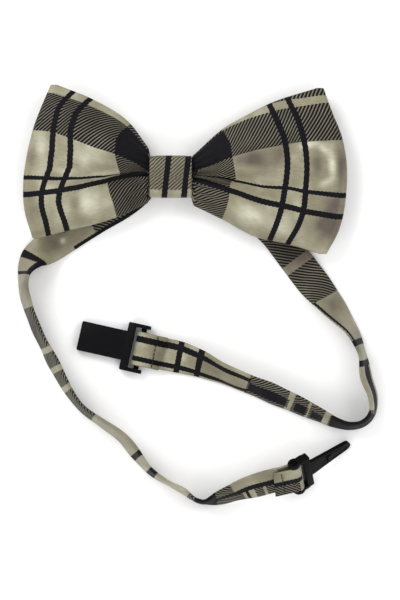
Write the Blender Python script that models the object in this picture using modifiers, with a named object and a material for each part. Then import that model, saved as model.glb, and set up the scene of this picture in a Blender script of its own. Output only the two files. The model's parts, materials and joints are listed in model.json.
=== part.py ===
"""A pre-tied bow tie with its neck strap and push-in clasp, laid on its back.

The origin is the centre of the knot's back, on the surface that the tie lies on. +Z is up,
towards the wearer's front, +Y is towards the top of the bow, and all lengths below are millimetres.
"""

import math

import bmesh
import bpy
import numpy as np
from mathutils import Matrix, Vector

MM = 0.001
GAP = 0.3

# The knot: a band round the pinched centre of the bow and round the strap behind it.
KNOT_WIDTH = 16.6
KNOT_HEIGHT = 15.6
KNOT_DEPTH = 13.0
KNOT_WALL = 1.0
LINER_WALL = 0.5
KNOT_CORNER = 3.2
LEAST_CORNER = 0.8

# The pinched centre of the bow, inside the knot.
PLEATS_LENGTH = 15.8
PLEATS_MIDDLE = 7.6
PLEATS_WAIST = (4.35, 2.35)
PLEATS_FLARE = (1.2, 0.85)
PLEAT_COUNT = 6
PLEAT_DEPTH = 0.05
THREAD_RADIUS = 0.3
THREAD_TURNS = 3
THREAD_PITCH = 1.0
THREAD_CLEARANCE = 0.35
THREAD_SIDES = 18

# The wings: loops of one folded strip of cloth. Each edge runs outwards from the knot, and
# the outer fold runs from the top corner to the bottom corner.
CLOTH = 1.2
FOLD_RADIUS = 1.9
BACK_LAYER_LOW = 4.4
BACK_LAYER_RISE = 2.8
FRONT_AT_KNOT = 8.2
FRONT_AT_FOLD = 9.8
LOBE_HEIGHT = 7.0
LOBE_START = 0.08
SWELL_POWER = 0.7
CREASE_POWER = 0.7
DOME_POWER = 0.8
LINING = 0.4
LINING_UPWARDS = (0.06, 0.94)
LINING_OUTWARDS = (0.03, 0.95)
LEFT_WING = {
    "top": [(-8.9, 10.8), (-16.5, 19.8), (-30.6, 28.1), (-44.6, 33.4)],
    "outer": [(-44.6, 33.4), (-50.9, 17.4), (-53.2, 8.1), (-54.5, -1.7), (-54.1, -12.2), (-51.2, -22.3)],
    "bottom": [(-8.9, -9.4), (-20.6, -14.4), (-30.6, -17.4), (-40.0, -19.5), (-51.2, -22.3)],
}
RIGHT_WING = {
    "top": [(8.9, 7.8), (21.5, 18.1), (29.3, 22.2), (38.0, 26.4), (56.6, 32.2)],
    "outer": [
        (56.6, 32.2), (60.0, 22.9), (63.0, 15.5), (64.9, 6.3), (65.0, -4.8), (61.9, -20.4), (57.8, -28.1),
    ],
    "bottom": [(8.9, -10.4), (20.1, -15.5), (32.2, -21.6), (45.0, -24.4), (57.8, -28.1)],
}

# The neck strap: a flat sewn tube with a lining inside. A route's row is x, y, roll in degrees
# about the run (0 flat, 90 on edge, + raises the left edge) and lift off the surface.
STRAP_WIDTH = 12.0
STRAP_THICKNESS = 1.7
STRAP_WALL = 0.36
STRAP_FLAT = 0.92
ROUNDED_START = 0.62
STRAP_STEP = 3.6
TWIST_STEP = 1.8
LINING_WIDTH = 5.6
LINING_THICKNESS = 0.22
CENTRE_WIDTH = 10.8
CENTRE_ROUTE = [
    (-11.2, 0.0, 0, 1.2), (-8.6, 0.0, 0, 2.1), (-4.0, 0.0, 0, 2.1), (0.0, 0.0, 0, 2.1),
    (4.0, 0.0, 0, 2.1), (8.6, 0.0, 0, 2.1), (11.2, 0.0, 0, 1.2),
]
LEFT_ROUTE = [
    (-14.6, -7.5, 0, 0), (-17.8, -9.2, 0, 0), (-27.0, -14.6, 0, 0), (-36.0, -20.2, 0, 0),
    (-43.2, -24.9, 4, 0), (-47.9, -28.0, 20, 0), (-51.4, -30.9, 44, 0), (-53.8, -34.8, 66, 0),
    (-54.4, -40.0, 74, 0), (-52.7, -47.7, 73, 0), (-49.8, -55.5, 75, 0), (-46.1, -63.3, 75, 0),
    (-42.6, -70.0, 73, 0), (-38.2, -78.2, 78, 0), (-33.0, -85.2, 82, 0), (-25.5, -90.8, 81, 0),
    (-18.0, -96.2, 77, 0), (-12.7, -102.5, 76, 0), (-7.8, -108.4, 82, 0), (-1.7, -112.6, 85, 0),
    (4.7, -116.0, 85, 0), (9.6, -119.4, 86, 0),
]
LEFT_SPLIT = 11
LEFT_END_ROUTE = [
    (12.2, -120.0, 86, 0), (17.6, -118.6, 66, 0.1), (23.8, -116.4, 56, 1.2), (31.0, -114.0, 44, 3.4),
    (37.0, -112.2, 42, 4.8),
]
RIGHT_ROUTE = [
    (14.4, -5.6, 0, 0), (17.5, -7.0, 0, 0), (29.0, -12.6, 0, 0), (38.5, -20.6, 0, 0),
    (44.8, -28.8, 0, 0), (50.8, -36.8, 0, 0), (57.6, -45.2, -32, 0), (63.6, -52.4, -56, 0),
    (67.6, -58.0, -70, 0), (70.4, -64.5, -77, 0), (72.3, -74.4, -70, 0), (74.6, -81.5, -76, 0),
    (74.6, -86.4, -80, 0), (73.0, -89.4, -80, 0),
]
RIGHT_SPLIT = 8
RIGHT_RETURN_ROUTE = [
    (70.6, -91.2, -80, 0), (66.3, -92.0, -78, 0), (60.8, -90.7, -74, 0), (53.8, -87.4, -65, 0),
    (46.0, -83.8, -58, 0), (36.7, -79.7, -53, 0), (29.3, -76.7, -56, 0), (22.7, -74.1, -55, 0),
    (16.4, -71.4, -48, 0), (10.8, -69.0, -34, 0), (3.4, -66.7, -12, 0.5), (-3.0, -65.4, 0, 2.2),
]

# Hinge points of the strap, on its centreline.
LEFT_SWING = (-17.8, -9.2)
RIGHT_SWING = (17.5, -7.0)
LEFT_FOLD = (10.9, -120.3)
RIGHT_FOLD = (72.0, -90.6)

# The clasp. Each half hangs on a pin that the strap's end is turned round and sewn.
PIN_RADIUS = 1.0
SOCKET_PIN_LENGTH = 18.0
TONGUE_PIN_LENGTH = 15.6
LUG_RADIUS = 2.3
LUG_WIDTH = 1.4
CROSSBAR_START = 3.1
CROSSBAR_WIDTH = 3.0
CROSSBAR_THICKNESS = 3.2
HOOP_OUTER = 2.7
HOOP_WIDTH = 12.2
HOOP_TAB = 8.0
HOOP_TAB_THICKNESS = 3.4
STITCH_RADIUS = 0.24
STITCH_COUNT = 19
STITCH_END = 5.4
STITCH_PLACE = 5.4
STITCH_WAVE = 0.12
HOUSING = (17.5, 11.0, 3.4)
MOUTH = (15.0, 7.6, 2.1)
WINDOW = (3.2, 3.2)
WINDOW_PLACE = 4.5
BODY_OVERLAP = 0.6
PLASTIC_EDGE = 0.5
SOCKET_PIN = (-11.3, -63.6, 2.75)
SOCKET_HEADING = 167.3
SOCKET_PITCH = 2.8
TONGUE_PIN = (46.4, -110.6, 8.4)
TONGUE_HEADING = 32.0
TONGUE_DROP = 17.0
TONGUE_TILT = 48.0
TONGUE_LENGTH = 18.6
LEFT_END_HEADING = 19.0
TONGUE_BASE = 7.0
TONGUE_TIP = 3.4
TONGUE_THICKNESS = 1.5
LEAF_WIDTH = 2.2
LEAF_LENGTH = 8.0
LEAF_START = 13.6
LEAF_THICKNESS = 0.8
BARB_HEIGHT = 0.6
BARB_LENGTH = 2.4
BARB_TIP = 0.2


def clear_scene():
    for old in list(bpy.data.objects):
        bpy.data.objects.remove(old, do_unlink=True)


def new_collection(name):
    collection = bpy.data.collections.new(name)
    bpy.context.scene.collection.children.link(collection)
    return collection


def new_material(name, colour, roughness, metallic=0.0):
    material = bpy.data.materials.new(name)
    material.use_nodes = True
    shader = material.node_tree.nodes["Principled BSDF"]
    shader.inputs["Base Color"].default_value = (*colour, 1.0)
    shader.inputs["Roughness"].default_value = roughness
    shader.inputs["Metallic"].default_value = metallic
    material.diffuse_color = (*colour, 1.0)
    return material


clear_scene()
TIE = new_collection("pretied_bow_tie")
CUTTERS = new_collection("cutting_shapes")
SATIN = new_material("tartan_satin", (0.45, 0.42, 0.31), 0.35)
LINER = new_material("wool_interlining", (0.72, 0.70, 0.64), 0.95)
BLACK_PLASTIC = new_material("black_moulded_plastic", (0.012, 0.011, 0.014), 0.4)
BLACK_STEEL = new_material("black_lacquered_steel", (0.02, 0.02, 0.022), 0.35, 0.6)
THREAD = new_material("black_sewing_thread", (0.015, 0.014, 0.016), 0.8)


def add_object(name, data, material, parent=None):
    item = bpy.data.objects.new(name, data)
    TIE.objects.link(item)
    item.data.materials.append(material)
    item.parent = parent
    return item


def hang_on(item, pivot):
    """Parents an object to a pivot without moving it."""
    item.parent = pivot
    if pivot:
        bpy.context.view_layer.update()
        item.matrix_parent_inverse = pivot.matrix_world.inverted()
    return item


def pivot_empty(name, place, parent=None):
    """An empty on an upright hinge axis, at a place on the strap's centreline."""
    empty = bpy.data.objects.new(name, None)
    TIE.objects.link(empty)
    empty.location = (place[0] * MM, place[1] * MM, 0)
    return hang_on(empty, parent)


def make_cutter(item):
    """Moves an object to the cutters, where nothing renders it."""
    TIE.objects.unlink(item)
    CUTTERS.objects.link(item)
    item.hide_render = True
    item.display_type = "WIRE"
    return item


def grid_mesh(name, grid, wrap=False):
    """A mesh of quads over a grid of points, closed round its second direction if wrap is set."""
    rows, columns = grid.shape[:2]
    index = np.arange(rows * columns).reshape(rows, columns)
    across = np.concatenate([index, index[:, :1]], axis=1) if wrap else index
    quads = np.stack([across[:-1, :-1], across[:-1, 1:], across[1:, 1:], across[1:, :-1]], axis=-1)
    mesh = bpy.data.meshes.new(name)
    mesh.from_pydata((grid.reshape(-1, 3) * MM).tolist(), [], quads.reshape(-1, 4).tolist())
    mesh.shade_smooth()
    return mesh


def close_ends(mesh):
    """Caps the open ends of a lofted mesh and turns its faces out."""
    work = bmesh.new()
    work.from_mesh(mesh)
    bmesh.ops.holes_fill(work, edges=[edge for edge in work.edges if edge.is_boundary])
    bmesh.ops.recalc_face_normals(work, faces=work.faces)
    work.to_mesh(mesh)
    work.free()


def thicken(item, thickness, offset):
    wall = item.modifiers.new("wall", "SOLIDIFY")
    wall.thickness = thickness * MM
    wall.offset = offset
    wall.use_even_offset = True
    return item


def box(name, low, high, material, parent=None, bevel=0.0):
    """A block between two corners, with rounded edges if bevel is set."""
    low, high = Vector(low) * MM, Vector(high) * MM
    mesh = bpy.data.meshes.new(name)
    work = bmesh.new()
    bmesh.ops.create_cube(work, size=1.0)
    bmesh.ops.scale(work, vec=high - low, verts=work.verts)
    bmesh.ops.translate(work, vec=(low + high) / 2, verts=work.verts)
    work.to_mesh(mesh)
    work.free()
    item = add_object(name, mesh, material, parent)
    if bevel:
        rounding = item.modifiers.new("rounded_edges", "BEVEL")
        rounding.width = bevel * MM
        rounding.segments = 2
    return item


def rod(name, radius, ends, material, parent=None):
    """A round bar along Y between the two places in ends."""
    mesh = bpy.data.meshes.new(name)
    work = bmesh.new()
    turn = Matrix.Rotation(math.radians(90), 4, "X")
    middle = Matrix.Translation((0, (ends[0] + ends[1]) / 2 * MM, 0))
    bmesh.ops.create_cone(
        work, cap_ends=True, segments=20, radius1=radius * MM, radius2=radius * MM,
        depth=abs(ends[1] - ends[0]) * MM, matrix=middle @ turn,
    )
    work.to_mesh(mesh)
    work.free()
    mesh.shade_smooth()
    mesh.set_sharp_from_angle(angle=math.radians(40))
    return add_object(name, mesh, material, parent)


def combine(item, other, operation):
    """Joins the other object to this one or cuts it away, and keeps it as a hidden cutter."""
    boolean = item.modifiers.new(operation.lower(), "BOOLEAN")
    boolean.operation = operation
    boolean.object = make_cutter(other)
    return item


def outline_plate(name, loops, half_depth, material, turn, parent=None):
    """A plate whose outline is drawn by closed loops in a plane, made a mesh and turned in place."""
    curve = bpy.data.curves.new(name, "CURVE")
    curve.dimensions = "2D"
    curve.fill_mode = "BOTH"
    curve.extrude = half_depth * MM
    for loop in loops:
        spline = curve.splines.new("POLY")
        spline.points.add(len(loop) - 1)
        for point, (x, y) in zip(spline.points, loop):
            point.co = (x * MM, y * MM, 0, 1)
        spline.use_cyclic_u = True
    drawn = bpy.data.objects.new(name + "_outline", curve)
    CUTTERS.objects.link(drawn)
    bpy.context.view_layer.update()
    evaluated = drawn.evaluated_get(bpy.context.evaluated_depsgraph_get())
    mesh = bpy.data.meshes.new_from_object(evaluated)
    bpy.data.objects.remove(drawn, do_unlink=True)
    mesh.name = name
    work = bmesh.new()
    work.from_mesh(mesh)
    bmesh.ops.remove_doubles(work, verts=work.verts, dist=0.01 * MM)
    bmesh.ops.transform(work, matrix=turn, verts=work.verts)
    bmesh.ops.recalc_face_normals(work, faces=work.faces)
    work.to_mesh(mesh)
    work.free()
    mesh.materials.clear()
    return add_object(name, mesh, material, parent)


def thread_line(name, points, radius, material, parent=None):
    """A round thread through the points."""
    curve = bpy.data.curves.new(name, "CURVE")
    curve.dimensions = "3D"
    curve.bevel_depth = radius * MM
    curve.bevel_resolution = 1
    curve.use_fill_caps = True
    spline = curve.splines.new("POLY")
    spline.points.add(len(points) - 1)
    for point, place in zip(spline.points, points):
        point.co = (place[0] * MM, place[1] * MM, place[2] * MM, 1)
    return add_object(name, curve, material, parent)


def smooth_line(points, step):
    """Points about a step apart along a smooth curve through the given rows, of any width."""
    points = np.array(points, float)
    lengths = np.linalg.norm(np.diff(points[:, :2], axis=0), axis=1)
    along = np.concatenate([[0.0], np.cumsum(lengths)])
    slopes = np.gradient(points, along, axis=0)
    count = max(2, round(along[-1] / step) + 1)
    places = np.linspace(0.0, along[-1], count)
    left = np.clip(np.searchsorted(along, places, side="right") - 1, 0, len(lengths) - 1)
    size = lengths[left]
    t = ((places - along[left]) / size)[:, None]
    size = size[:, None]
    start = (1 + 2 * t) * (1 - t) ** 2 * points[left] + t * (1 - t) ** 2 * size * slopes[left]
    end = t**2 * (3 - 2 * t) * points[left + 1] + t**2 * (t - 1) * size * slopes[left + 1]
    return start + end


# ---------------------------------------------------------------- strap

def strap_frames(route, step):
    """Centres, width directions and face normals of a strap along its route."""
    rows = smooth_line(route, step)
    roll = np.radians(rows[:, 2])
    height = STRAP_WIDTH / 2 * np.abs(np.sin(roll)) + STRAP_THICKNESS / 2 * np.cos(roll)
    centres = np.stack([rows[:, 0], rows[:, 1], height + rows[:, 3]], axis=1)
    run = np.gradient(centres, axis=0)
    run /= np.linalg.norm(run, axis=1, keepdims=True)
    level = np.cross([0.0, 0.0, 1.0], run)
    level /= np.linalg.norm(level, axis=1, keepdims=True)
    upright = np.cross(run, level)
    cos, sin = np.cos(roll)[:, None], np.sin(roll)[:, None]
    return centres, cos * level + sin * upright, cos * upright - sin * level


def strap_tube(name, route, pivot, step, width, rounded_start):
    """The strap's cloth: a flat tube with open ends and a thin wall.

    Where it starts at a swinging end, the first section is narrower, so the end is near a half circle.
    """
    centres, across, face = strap_frames(route, step)
    half = np.full((len(centres), 1), width / 2)
    if rounded_start:
        half[0] *= ROUNDED_START
    edge, side = STRAP_THICKNESS / 2, STRAP_THICKNESS / 4
    corners = [(1.0, -side), (1.0, side), (STRAP_FLAT, edge), (0.0, edge), (-STRAP_FLAT, edge)]
    corners += [(-a, -b) for a, b in corners]
    section = [centres + across * half * a + face * b for a, b in corners]
    mesh = grid_mesh(name, np.stack(section, axis=1), wrap=True)
    tube = add_object(name, mesh, SATIN)
    hang_on(tube, pivot)
    return thicken(tube, STRAP_WALL, -1.0)


def strap_lining(name, route, pivot, step):
    """The flat interlining inside a stretch of strap."""
    centres, across, face = strap_frames(route, step)
    half = LINING_WIDTH / 2
    strip = np.stack([centres - across * half, centres, centres + across * half], axis=1)
    lining = add_object(name, grid_mesh(name, strip), LINER)
    hang_on(lining, pivot)
    return thicken(lining, LINING_THICKNESS, 0.0)


def strap_part(name, route, pivot=None, step=STRAP_STEP, width=STRAP_WIDTH, rounded_start=False):
    strap_tube(name, route, pivot, step, width, rounded_start)
    strap_lining(name + "_lining", route, pivot, step)


def split_route(route, at, half_gap):
    """Two stretches of one route, parted by a small gap at the given row."""
    x, y, roll, lift = route[at]
    before = np.array(route[at - 1][:2])
    after = np.array(route[at + 1][:2])
    run = (after - before) / np.linalg.norm(after - before)
    first = route[:at] + [(x - run[0] * half_gap, y - run[1] * half_gap, roll, lift)]
    second = [(x + run[0] * half_gap, y + run[1] * half_gap, roll, lift)] + route[at + 1 :]
    return first, second


def make_strap():
    strap_part("strap_centre", CENTRE_ROUTE, width=CENTRE_WIDTH)
    swing = pivot_empty("left_swing_axis", LEFT_SWING)
    upper, lower = split_route(LEFT_ROUTE, LEFT_SPLIT, GAP)
    strap_part("strap_left_upper", upper, swing, TWIST_STEP, rounded_start=True)
    strap_part("strap_left_lower", lower, swing)
    strap_part("strap_left_end", LEFT_END_ROUTE, pivot_empty("left_fold_axis", LEFT_FOLD, swing))
    swing = pivot_empty("right_swing_axis", RIGHT_SWING)
    upper, lower = split_route(RIGHT_ROUTE, RIGHT_SPLIT, GAP)
    strap_part("strap_right_upper", upper, swing, TWIST_STEP, rounded_start=True)
    strap_part("strap_right_lower", lower, swing)
    strap_part("strap_right_return", RIGHT_RETURN_ROUTE, pivot_empty("right_fold_axis", RIGHT_FOLD, swing))


# ---------------------------------------------------------------- bow

def curve_through(points, places):
    """Points at the given shares of the length of a smooth curve through the outline's points."""
    fine = smooth_line(points, 0.5)
    along = np.concatenate([[0.0], np.cumsum(np.linalg.norm(np.diff(fine, axis=0), axis=1))])
    along /= along[-1]
    return np.stack([np.interp(places, along, fine[:, i]) for i in range(2)], axis=1)


def wing_plan(wing, outwards, upwards, inset):
    """Plan positions over a wing: a patch blended from its four edges.

    outwards runs from 0 at the knot to 1 at the fold, upwards from 0 at the bottom edge to 1.
    """
    top = curve_through(wing["top"], outwards)[:, None]
    bottom = curve_through(wing["bottom"], outwards)[:, None]
    fold = curve_through(wing["outer"][::-1], upwards)[None]
    knot = bottom[:1] + (top[:1] - bottom[:1]) * upwards[None, :, None]
    s, v = outwards[:, None, None], upwards[None, :, None]
    sides = (1 - s) * knot + s * fold + (1 - v) * bottom + v * top
    corners = (1 - s) * ((1 - v) * bottom[:1] + v * top[:1])
    corners = corners + s * ((1 - v) * bottom[-1:] + v * top[-1:])
    plan = sides - corners
    plan[..., 0] -= np.sign(plan[..., 0]) * inset * s[..., 0]
    return plan


def back_height(outwards):
    return BACK_LAYER_LOW + BACK_LAYER_RISE * outwards


def front_height(outwards, upwards):
    """The front layer puffs in two lobes, above and below a crease that fades outwards."""
    s, v = outwards[:, None], (2 * upwards - 1)[None]
    rim = FRONT_AT_KNOT + (FRONT_AT_FOLD - FRONT_AT_KNOT) * s
    crease = (1 - s) ** CREASE_POWER
    lobes = (1 - crease) * np.cos(np.pi * v / 2) ** DOME_POWER + crease * np.abs(np.sin(np.pi * v))
    swell = np.sin(np.pi * np.clip(s * (1 - LOBE_START) + LOBE_START, 0, 1)) ** SWELL_POWER
    return rim + LOBE_HEIGHT * swell * lobes


def wing_loop(name, wing):
    """The cloth loop: the front layer out to the fold, round it, and back behind."""
    upwards = np.linspace(0, 1, 13)
    out = np.linspace(0, 1, 12)
    inset = FOLD_RADIUS + CLOTH / 2
    front = np.dstack([wing_plan(wing, out, upwards, inset), front_height(out, upwards)])
    back = np.dstack([wing_plan(wing, out, upwards, inset), np.repeat(back_height(out)[:, None], 13, 1)])
    turn = np.radians(np.linspace(0, 180, 7)[1:-1])[:, None]
    side = np.sign(wing["top"][0][0])
    middle = (front[-1] + back[-1]) / 2
    half = (front[-1, :, 2] - back[-1, :, 2])[None] / 2
    fold = np.repeat(middle[None], len(turn), 0)
    fold[..., 0] += side * FOLD_RADIUS * np.sin(turn)
    fold[..., 2] += half * np.cos(turn)
    strip = np.concatenate([front, fold, back[::-1]])
    if side < 0:
        strip = strip[:, ::-1]
    loop = add_object(name, grid_mesh(name, strip), SATIN)
    return thicken(loop, CLOTH, 0.0)


def wing_lining(name, wing):
    """The interfacing that stiffens a wing, lying on the inside of its back layer."""
    upwards = np.linspace(*LINING_UPWARDS, 7)
    out = np.linspace(*LINING_OUTWARDS, 8)
    level = back_height(out) + CLOTH / 2 + GAP + LINING / 2
    plan = wing_plan(wing, out, upwards, FOLD_RADIUS + CLOTH / 2)
    sheet = np.dstack([plan, np.repeat(level[:, None], len(upwards), 1)])
    lining = add_object(name, grid_mesh(name, sheet), LINER)
    return thicken(lining, LINING, 0.0)


def pleats_radii(x, clearance=0.0):
    share = (x / (PLEATS_LENGTH / 2)) ** 2
    return (
        PLEATS_WAIST[0] + PLEATS_FLARE[0] * share + clearance,
        PLEATS_WAIST[1] + PLEATS_FLARE[1] * share + clearance,
    )


def make_pleats():
    """The gathered centre of the bow: oval sections along X, with folds running along it."""
    stations = np.linspace(-PLEATS_LENGTH / 2, PLEATS_LENGTH / 2, 9)
    angle = np.linspace(0, 2 * np.pi, 24, endpoint=False)
    waves = 1 - PLEAT_DEPTH * (1 + np.cos(PLEAT_COUNT * angle))
    rings = []
    for x in stations:
        a, b = pleats_radii(x)
        ring = [np.full(24, x), a * waves * np.cos(angle), PLEATS_MIDDLE + b * waves * np.sin(angle)]
        rings.append(np.stack(ring, axis=1))
    mesh = grid_mesh("bow_centre_pleats", np.stack(rings), wrap=True)
    close_ends(mesh)
    add_object("bow_centre_pleats", mesh, SATIN)


def make_pinch_thread():
    """The thread wound round the pleats: an oval helix along X."""
    angle = np.linspace(0, 2 * np.pi * THREAD_TURNS, THREAD_SIDES * THREAD_TURNS + 1)
    x = THREAD_PITCH * (angle / (2 * np.pi) - THREAD_TURNS / 2)
    a, b = pleats_radii(x, THREAD_CLEARANCE + THREAD_RADIUS)
    points = np.stack([x, a * np.cos(angle), PLEATS_MIDDLE + b * np.sin(angle)], axis=1)
    thread_line("pinch_thread", points.tolist(), THREAD_RADIUS, THREAD)


def rounded_rectangle(width, low, high, radius):
    """The outline of a rectangle with round corners, centred across and between two heights."""
    centres = [(width / 2 - radius, high - radius), (radius - width / 2, high - radius)]
    centres += [(radius - width / 2, low + radius), (width / 2 - radius, low + radius)]
    outline = []
    for quarter, (x, y) in enumerate(centres):
        for degrees in range(0, 91, 18):
            angle = math.radians(degrees + 90 * quarter)
            outline.append((x + radius * math.cos(angle), y + radius * math.sin(angle)))
    return outline


def make_knot():
    """The knot's band and its lining, two rings round the X axis."""
    upright = Matrix(((0, 0, 1, 0), (1, 0, 0, 0), (0, 1, 0, 0), (0, 0, 0, 1)))
    rings = []
    for inner in (0.0, KNOT_WALL, KNOT_WALL + GAP, KNOT_WALL + GAP + LINER_WALL):
        width = KNOT_HEIGHT - 2 * inner
        radius = max(KNOT_CORNER - inner, LEAST_CORNER)
        rings.append(rounded_rectangle(width, inner, KNOT_DEPTH - inner, radius))
    outline_plate("knot_wrap", rings[:2], KNOT_WIDTH / 2, SATIN, upright)
    outline_plate("knot_lining", rings[2:], (KNOT_WIDTH - KNOT_WALL) / 2, LINER, upright)


def make_bow():
    for side, wing in (("left", LEFT_WING), ("right", RIGHT_WING)):
        wing_loop("bow_loop_" + side, wing)
        wing_lining("bow_interfacing_" + side, wing)
    make_pleats()
    make_pinch_thread()
    make_knot()


# ---------------------------------------------------------------- clasp

def axis_empty(name, place, along, bar):
    """An empty at a pin's centre, with X along the clasp half and Y along its pin."""
    along, bar = Vector(along).normalized(), Vector(bar)
    bar = (bar - along * bar.dot(along)).normalized()
    up = along.cross(bar)
    turn = Matrix((along, bar, up)).transposed().to_4x4()
    empty = bpy.data.objects.new(name, None)
    TIE.objects.link(empty)
    empty.matrix_world = Matrix.Translation(Vector(place) * MM) @ turn
    return empty


def socket_axes():
    heading, pitch = math.radians(SOCKET_HEADING), math.radians(SOCKET_PITCH)
    along = (math.cos(heading) * math.cos(pitch), math.sin(heading) * math.cos(pitch), -math.sin(pitch))
    bar = (-math.sin(heading), math.cos(heading), 0)
    return along, bar


def tongue_axes():
    """The tongue slopes down from its pin, whose upper end leans over it."""
    heading, drop, tilt = map(math.radians, (TONGUE_HEADING, TONGUE_DROP, TONGUE_TILT))
    along = (math.cos(heading) * math.cos(drop), math.sin(heading) * math.cos(drop), -math.sin(drop))
    lean = heading + math.acos(math.tan(drop) * math.tan(tilt))
    bar = (math.cos(lean) * math.cos(tilt), math.sin(lean) * math.cos(tilt), math.sin(tilt))
    return along, bar


def yoke_pieces(name, pin_length, material, parent):
    """The crossbar, and the two lugs that hold the pin, as shapes to join."""
    half = CROSSBAR_THICKNESS / 2
    reach = pin_length / 2
    end = CROSSBAR_START + CROSSBAR_WIDTH
    low, high = (CROSSBAR_START, -reach, -half), (end, reach, half)
    pieces = [box(name + "_crossbar", low, high, material, parent, PLASTIC_EDGE)]
    for side in (-1, 1):
        inner, outer = sorted((side * (reach - LUG_WIDTH), side * reach))
        low, high = (0, inner, -half), (CROSSBAR_START + 1, outer, half)
        pieces.append(box(f"{name}_arm_{side + 1}", low, high, material, parent))
        pieces.append(rod(f"{name}_lug_{side + 1}", LUG_RADIUS, (inner, outer), material, parent))
    return pieces


def cut_pin_hole(item, name, parent):
    reach = SOCKET_PIN_LENGTH
    hole = rod(name + "_pin_hole", PIN_RADIUS + GAP, (-reach, reach), BLACK_PLASTIC, parent)
    combine(item, hole, "DIFFERENCE")


def make_pin(name, length, parent):
    rod(name, PIN_RADIUS, (-length / 2, length / 2), BLACK_STEEL, parent)


def make_socket(axis):
    length, width, thickness = HOUSING
    start = CROSSBAR_START + CROSSBAR_WIDTH - BODY_OVERLAP
    end = start + length
    low, high = (start, -width / 2, -thickness / 2), (end, width / 2, thickness / 2)
    housing = box("socket_housing", low, high, BLACK_PLASTIC, axis, PLASTIC_EDGE)
    for piece in yoke_pieces("socket", SOCKET_PIN_LENGTH, BLACK_PLASTIC, axis):
        combine(housing, piece, "UNION")
    cut_pin_hole(housing, "socket", axis)
    depth, across, tall = MOUTH
    low, high = (end - depth, -across / 2, -tall / 2), (end + 1, across / 2, tall / 2)
    combine(housing, box("socket_mouth", low, high, BLACK_PLASTIC, axis), "DIFFERENCE")
    middle = end - depth + WINDOW_PLACE
    low = (middle - WINDOW[0] / 2, -WINDOW[1] / 2, -thickness)
    high = (middle + WINDOW[0] / 2, WINDOW[1] / 2, 0)
    combine(housing, box("socket_release_window", low, high, BLACK_PLASTIC, axis), "DIFFERENCE")
    make_pin("socket_pin", SOCKET_PIN_LENGTH, axis)


def tongue_outline():
    """The tongue tapers from its base to a round tip."""
    start = CROSSBAR_START + CROSSBAR_WIDTH - BODY_OVERLAP
    end = start + TONGUE_LENGTH
    radius = TONGUE_TIP / 2
    tip = []
    for degrees in range(-90, 91, 18):
        angle = math.radians(degrees)
        tip.append((end - radius + radius * math.cos(angle), radius * math.sin(angle)))
    return [(start, -TONGUE_BASE / 2), *tip, (start, TONGUE_BASE / 2)]


def make_tongue(axis):
    flat = Matrix.Identity(4)
    half = TONGUE_THICKNESS / 2
    blade = outline_plate("tongue_blade", [tongue_outline()], half, BLACK_PLASTIC, flat, axis)
    for piece in yoke_pieces("tongue", TONGUE_PIN_LENGTH, BLACK_PLASTIC, axis):
        combine(blade, piece, "UNION")
    cut_pin_hole(blade, "tongue", axis)
    slot_half = LEAF_WIDTH / 2 + GAP
    low = (LEAF_START - GAP, -slot_half, -TONGUE_THICKNESS)
    high = (LEAF_START + LEAF_LENGTH + GAP, slot_half, TONGUE_THICKNESS)
    combine(blade, box("tongue_slot", low, high, BLACK_PLASTIC, axis), "DIFFERENCE")
    make_pin("tongue_pin", TONGUE_PIN_LENGTH, axis)
    make_catch_leaf(axis)


def make_catch_leaf(axis):
    """A springy leaf in the tongue's slot, rooted at the tip end, with a barb at its free end."""
    half = LEAF_THICKNESS / 2
    root = bpy.data.objects.new("leaf_root_axis", None)
    TIE.objects.link(root)
    root.parent = axis
    root.location = Vector((LEAF_START + LEAF_LENGTH, 0, TONGUE_THICKNESS / 2 - half)) * MM
    end, top = -LEAF_LENGTH, half + BARB_HEIGHT
    side = [(0, -half), (0, half), (end + BARB_LENGTH, half), (end + BARB_TIP, top), (end, top), (end, -half)]
    upright = Matrix.Rotation(math.radians(90), 4, "X")
    outline_plate("catch_leaf", [side], LEAF_WIDTH / 2, BLACK_PLASTIC, upright, root)


def make_hoop(side, axis):
    """The strap's end turned round a pin and sewn down, with its row of stitches on top."""
    nose = []
    for degrees in range(-100, 101, 20):
        angle = math.radians(degrees)
        nose.append((HOOP_OUTER * math.cos(angle), HOOP_OUTER * math.sin(angle)))
    tab = HOOP_TAB_THICKNESS / 2
    outline = [*nose, (-HOOP_TAB, tab), (-HOOP_TAB, -tab)]
    bore = []
    for degrees in range(0, 360, 20):
        angle = math.radians(degrees)
        bore.append(((PIN_RADIUS + GAP) * math.cos(angle), (PIN_RADIUS + GAP) * math.sin(angle)))
    upright = Matrix.Rotation(math.radians(90), 4, "X")
    outline_plate("strap_hoop_" + side, [outline, bore], HOOP_WIDTH / 2, SATIN, upright, axis)
    level = HOOP_OUTER + STITCH_RADIUS
    stitches = []
    for number, y in enumerate(np.linspace(-STITCH_END, STITCH_END, STITCH_COUNT)):
        stitches.append((-STITCH_PLACE, y, level - STITCH_WAVE * (number % 2)))
    thread_line("stitches_" + side, stitches, STITCH_RADIUS, THREAD, axis)


def left_hoop_axes():
    """The left hoop turns on the tongue's pin, in line with the strap and not with the tongue."""
    heading = math.radians(LEFT_END_HEADING)
    strap, bar = Vector((math.cos(heading), math.sin(heading), 0)), Vector(tongue_axes()[1])
    return strap - bar * strap.dot(bar), bar


def make_clasp():
    socket = axis_empty("socket_pin_axis", SOCKET_PIN, *socket_axes())
    tongue = axis_empty("tongue_pin_axis", TONGUE_PIN, *tongue_axes())
    make_socket(socket)
    make_tongue(tongue)
    make_hoop("right", socket)
    make_hoop("left", axis_empty("left_hoop_axis", TONGUE_PIN, *left_hoop_axes()))


make_strap()
make_bow()
make_clasp()
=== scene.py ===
"""The looks of a pre-tied tartan bow tie, built round its CAD frame.

Lengths are millimetres until a mesh is written. +Z is up, towards the wearer's front, and +Y is
towards the top of the bow.
"""

import json
import math

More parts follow.
